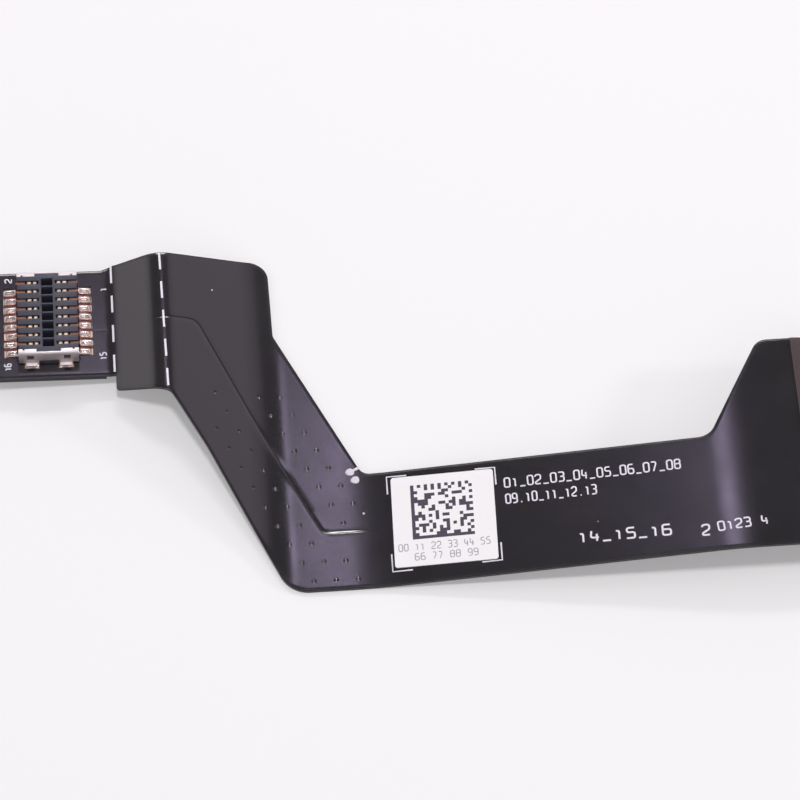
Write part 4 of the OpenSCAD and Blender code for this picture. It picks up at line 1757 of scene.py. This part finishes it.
@dataclass
class Marks:
    """Drops of white marking paint and specks of lint on the coverlay."""

    silk: SilkPrint
    drops: tuple[tuple[float, float, float, float], ...] = (
        (35.12, 12.66, 0.43, 0.07), (35.57, 11.76, 0.43, 0.06))
    tail: tuple[Point, Point] = ((35.3, 12.74), (35.84, 13.02))
    specks: tuple[tuple[float, float, float], ...] = (
        (36.16, 8.0, 0.11), (22.89, 33.27, 0.08), (5.6, 25.9, 0.07), (58.2, 4.4, 0.04))
    wobble: float = 0.05
    sunk: float = 0.002

    @staticmethod
    def _drop(x: float, y: float, radius: float, height: float, wobble: float,
              rings: int = 6, sides: int = 20) -> tuple[Array, list[tuple[int, ...]]]:
        """A low dome with a slightly uneven rim, closed below.

        Args:
            x: its middle along the cable.
            y: its middle across the cable.
            radius: its mean radius.
            height: its height.
            wobble: how uneven its rim is, as a share of the radius.
            rings: rings of points from the middle to the rim.
            sides: points a ring.

        Returns:
            Its plan coordinates with z as the height, and its faces.
        """
        coords: list[tuple[float, float, float]] = [(x, y, height)]
        for ring in range(1, rings + 1):
            s = ring / rings
            for k in range(sides):
                a = 2 * math.pi * k / sides
                uneven = wobble * s * (math.sin(3 * a + x) + 0.6 * math.cos(2 * a + y))
                r = radius * s * (1 + uneven)
                coords.append((x + r * math.cos(a), y + r * math.sin(a),
                               height * math.sqrt(max(0.0, 1 - s ** 3))))
        faces: list[tuple[int, ...]] = [(0, 1 + k, 1 + (k + 1) % sides) for k in range(sides)]
        for ring in range(rings - 1):
            a = 1 + ring * sides
            faces += [(a + k, a + sides + k, a + sides + (k + 1) % sides, a + (k + 1) % sides)
                      for k in range(sides)]
        rim = 1 + (rings - 1) * sides
        faces.append(tuple(rim + k for k in reversed(range(sides))))
        return np.array(coords), faces

    def _drops(self, name: str, drops: Iterable[tuple[float, float, float, float]],
               finish: Finish) -> None:
        """Makes several drops as one piece.

        Args:
            name: the piece's name.
            drops: x, y, radius and height of each.
            finish: their material.
        """
        coords, faces, count = [], [], 0
        for x, y, radius, height in drops:
            more, rounds = self._drop(x, y, radius, height, self.wobble)
            coords.append(more)
            faces += [tuple(n + count for n in f) for f in rounds]
            count += len(more)
        piece = mesh_object(name, np.concatenate(coords), faces, finish)
        keep(self.silk.lay(piece, extra=-self.sunk))

    def build(self) -> None:
        """Makes the drops, the tail and the specks."""
        a, b = np.array(self.tail[0]), np.array(self.tail[1])
        trail = [(*(a + (b - a) * t), 0.17 - 0.05 * abs(t - 0.8), 0.05)
                 for t in (0, 0.3, 0.6, 0.85, 1)]
        self._drops("paint_drops", [*self.drops, *trail], PAINT)
        self._drops("lint_specks", [(x, y, r, r * 0.8) for x, y, r in self.specks], LINT)


# ---------------------------------------------------------------- camera and studio


@dataclass
class Studio:
    """The pale table, the soft lights and the camera."""

    aim_mm: tuple[float, float, float] = (-4.75, 1.875, 0.4)
    distance_mm: float = 400.0
    elevation: float = 59.0
    turn: float = 4.0
    lens: float = 185.4
    floor_colour: str = "#dddcdd"
    floor_half: float = 1.5
    floor_lift: float = 0.25
    room: tuple[float, float] = (0.75, 0.16)

    def camera(self) -> None:
        """Sets the camera above the near side of the cable."""
        level = math.radians(self.elevation)
        turn = math.radians(self.turn)
        back = Vector((-math.sin(turn) * math.cos(level), -math.cos(turn) * math.cos(level),
                       math.sin(level)))
        data = bpy.data.cameras.new("camera")
        data.lens = self.lens
        data.sensor_width = 36
        data.clip_start = 0.01
        made = linked("camera", data)
        made.location = (Vector(self.aim_mm) + back * self.distance_mm) * MM
        made.rotation_euler = back.to_track_quat("Z", "Y").to_euler()
        bpy.context.scene.camera = made

    def floor(self) -> None:
        """A pale table that keeps the cable's shadow."""
        material = bpy.data.materials.new("pale_table")
        tree = cleared(material)
        lit = add(tree, "ShaderNodeBsdfDiffuse", {"Color": linear(self.floor_colour)})
        lift = add(tree, "ShaderNodeEmission", {"Color": (1, 1, 1, 1), "Strength": self.floor_lift})
        seen = add(tree, "ShaderNodeLightPath")
        both = add(tree, "ShaderNodeAddShader", {0: lit.outputs[0], 1: lift.outputs[0]})
        shown = add(tree, "ShaderNodeMixShader", {0: seen.outputs["Is Camera Ray"],
                                                  1: lit.outputs[0], 2: both.outputs[0]})
        add(tree, "ShaderNodeOutputMaterial", {"Surface": shown.outputs[0]})
        half = self.floor_half
        corners = [(-half, -half, 0), (half, -half, 0), (half, half, 0), (-half, half, 0)]
        made = mesh_object("table", np.array(corners), [(0, 1, 2, 3)])
        made.data.materials.append(material)
        made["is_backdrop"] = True

    def lamp(self, name: str, place: Place, size: tuple[float, float], power: float,
             colour: str = "#ffffff") -> None:
        """Adds a rectangular softbox that faces the cable.

        Args:
            name: the lamp's name.
            place: where it hangs, in metres.
            size: its sides in metres.
            power: its power in watts.
            colour: its sRGB hex colour.
        """
        data = bpy.data.lights.new(name, "AREA")
        data.shape = "RECTANGLE"
        data.size, data.size_y = size
        data.energy = power
        data.color = linear(colour)[:3]
        made = linked(name, data)
        made.location = place
        made.rotation_euler = Vector(place).to_track_quat("Z", "Y").to_euler()

    def lights(self) -> None:
        """An overhead key, a soft box for the sheen, a low side lamp and a pale room."""
        self.lamp("key", (0.0, -0.01, 0.62), (0.1, 0.1), 1.32, "#fefffd")
        self.lamp("rear", (0.0, 0.50, 0.40), (0.24, 0.06), 0.85, "#fffbff")
        self.lamp("sheen_box", (0.018, 0.36, 0.66), (0.046, 0.08), 0.08, "#e8d8ff")
        self.lamp("right_box", (0.45, 0.40, 0.54), (0.34, 0.34), 0.17, "#f3e2fb")
        self.lamp("left_box", (-0.55, 0.36, 0.46), (0.3, 0.3), 0.14, "#f3e8f6")
        self.lamp("side", (0.66, 0.02, 0.2), (0.1, 0.06), 1.1)
        world = bpy.data.worlds.new("pale_room")
        bpy.context.scene.world = world
        tree = cleared(world)
        place = add(tree, "ShaderNodeTexCoord").outputs["Generated"]
        axes = add(tree, "ShaderNodeSeparateXYZ", {"Vector": place})
        level = add(tree, "ShaderNodeMapRange",
                    {"Value": axes.outputs["Z"], "From Min": 0.45, "From Max": 0.85,
                     "To Min": self.room[0], "To Max": self.room[1]},
                    interpolation_type="SMOOTHSTEP")
        shade = add(tree, "ShaderNodeBackground", {"Color": linear("#faf4fa"),
                                                   "Strength": level.outputs["Result"]})
        add(tree, "ShaderNodeOutputWorld", {"Surface": shade.outputs[0]})

    def build(self) -> None:
        """Sets up the whole studio."""
        self.camera()
        self.floor()
        self.lights()
        bpy.context.scene.view_settings.view_transform = "Standard"


# ---------------------------------------------------------------- the wide end, and the whole


@dataclass(frozen=True)
class EndLands:
    """The window over the row of contact lands under the wide end."""

    count: int = 16
    pitch: float = 1.25
    margin: float = 0.7
    from_end: tuple[float, float] = (6.2, 2.4)

    def window(self, sheet: FlexSheet) -> Array:
        """The rear coverlay's opening.

        Args:
            sheet: the skin that it is cut from.

        Returns:
            The plan loop.
        """
        reach = (self.count - 1) / 2 * self.pitch + self.margin
        middle = sheet.wide_w / 2
        loop = box_loop((sheet.form.length - self.from_end[0],
                         sheet.form.length - self.from_end[1]), (middle - reach, middle + reach))
        return divided(loop, EDGE_STEP, closed=True)


def end_film_loop(sheet: FlexSheet) -> Array:
    """Finds the wide end's part of the sheet's outline, closed by a straight edge.

    Args:
        sheet: the skin that the film lies on.

    Returns:
        The film's plan loop.
    """
    start_x = sheet.end_film_x
    kept = sheet.outline[sheet.outline[:, 0] > start_x + EDGE_STEP * 0.4]
    first, last = [(start_x, 0.0)], [(start_x, sheet.wide_w)]
    return divided(np.concatenate([first, kept, last]), EDGE_STEP, closed=True)


def dress_cad(frame: dict) -> None:
    """Gives every carried-over CAD node its material.

    Args:
        frame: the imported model.
    """
    finishes = dict(CAD_FINISHES)
    finishes.update({f"contact_{n}": BRONZE for n in range(1, 17)})
    for node, finish in finishes.items():
        slots = frame["nodes"][node].data.materials
        slots.clear()
        slots.append(finish.material())


def main() -> None:
    """Builds the cable's looks on the frame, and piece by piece."""
    logging.basicConfig(level=logging.INFO, format="%(name)s: %(message)s")
    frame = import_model()
    cad_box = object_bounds()
    Studio().build()
    low, high = (Vector(c) / MM for c in cad_box)
    form = SheetForm(length=high.x - low.x, far_y=high.y - low.y, top=high.z)
    dress_cad(frame)
    sheet = FlexSheet(form)
    connector = Connector(form)
    front = sheet.skin("front_coverlay_skin", Side.FRONT, form.thickness - sheet.film_h,
                       form.thickness, COVERLAY, holes=connector.windows())
    keep(front, ["front_coverlay"])
    rear = sheet.skin("rear_coverlay_skin", Side.REAR, 0.0, sheet.film_h, COVERLAY,
                      holes=[EndLands().window(sheet)])
    keep(rear, ["rear_coverlay"])
    tape = sheet.skin("end_film_skin", Side.FRONT, form.thickness,
                      form.thickness + sheet.end_film_t, BROWN_TAPE,
                      outline=end_film_loop(sheet), whole_fall=True)
    keep(tape, ["end_film"])
    connector.solder()
    connector.softened(frame, "housing", LCP, 0.03)
    for node in ("hold_down_near", "hold_down_far"):
        connector.softened(frame, node, TIN_PLATE, 0.035)
    silk = SilkPrint(form, front)
    silk.build()
    CodeLabel(form).build(silk.pen)
    Marks(silk).build()


if __name__ == "__main__":
    main()
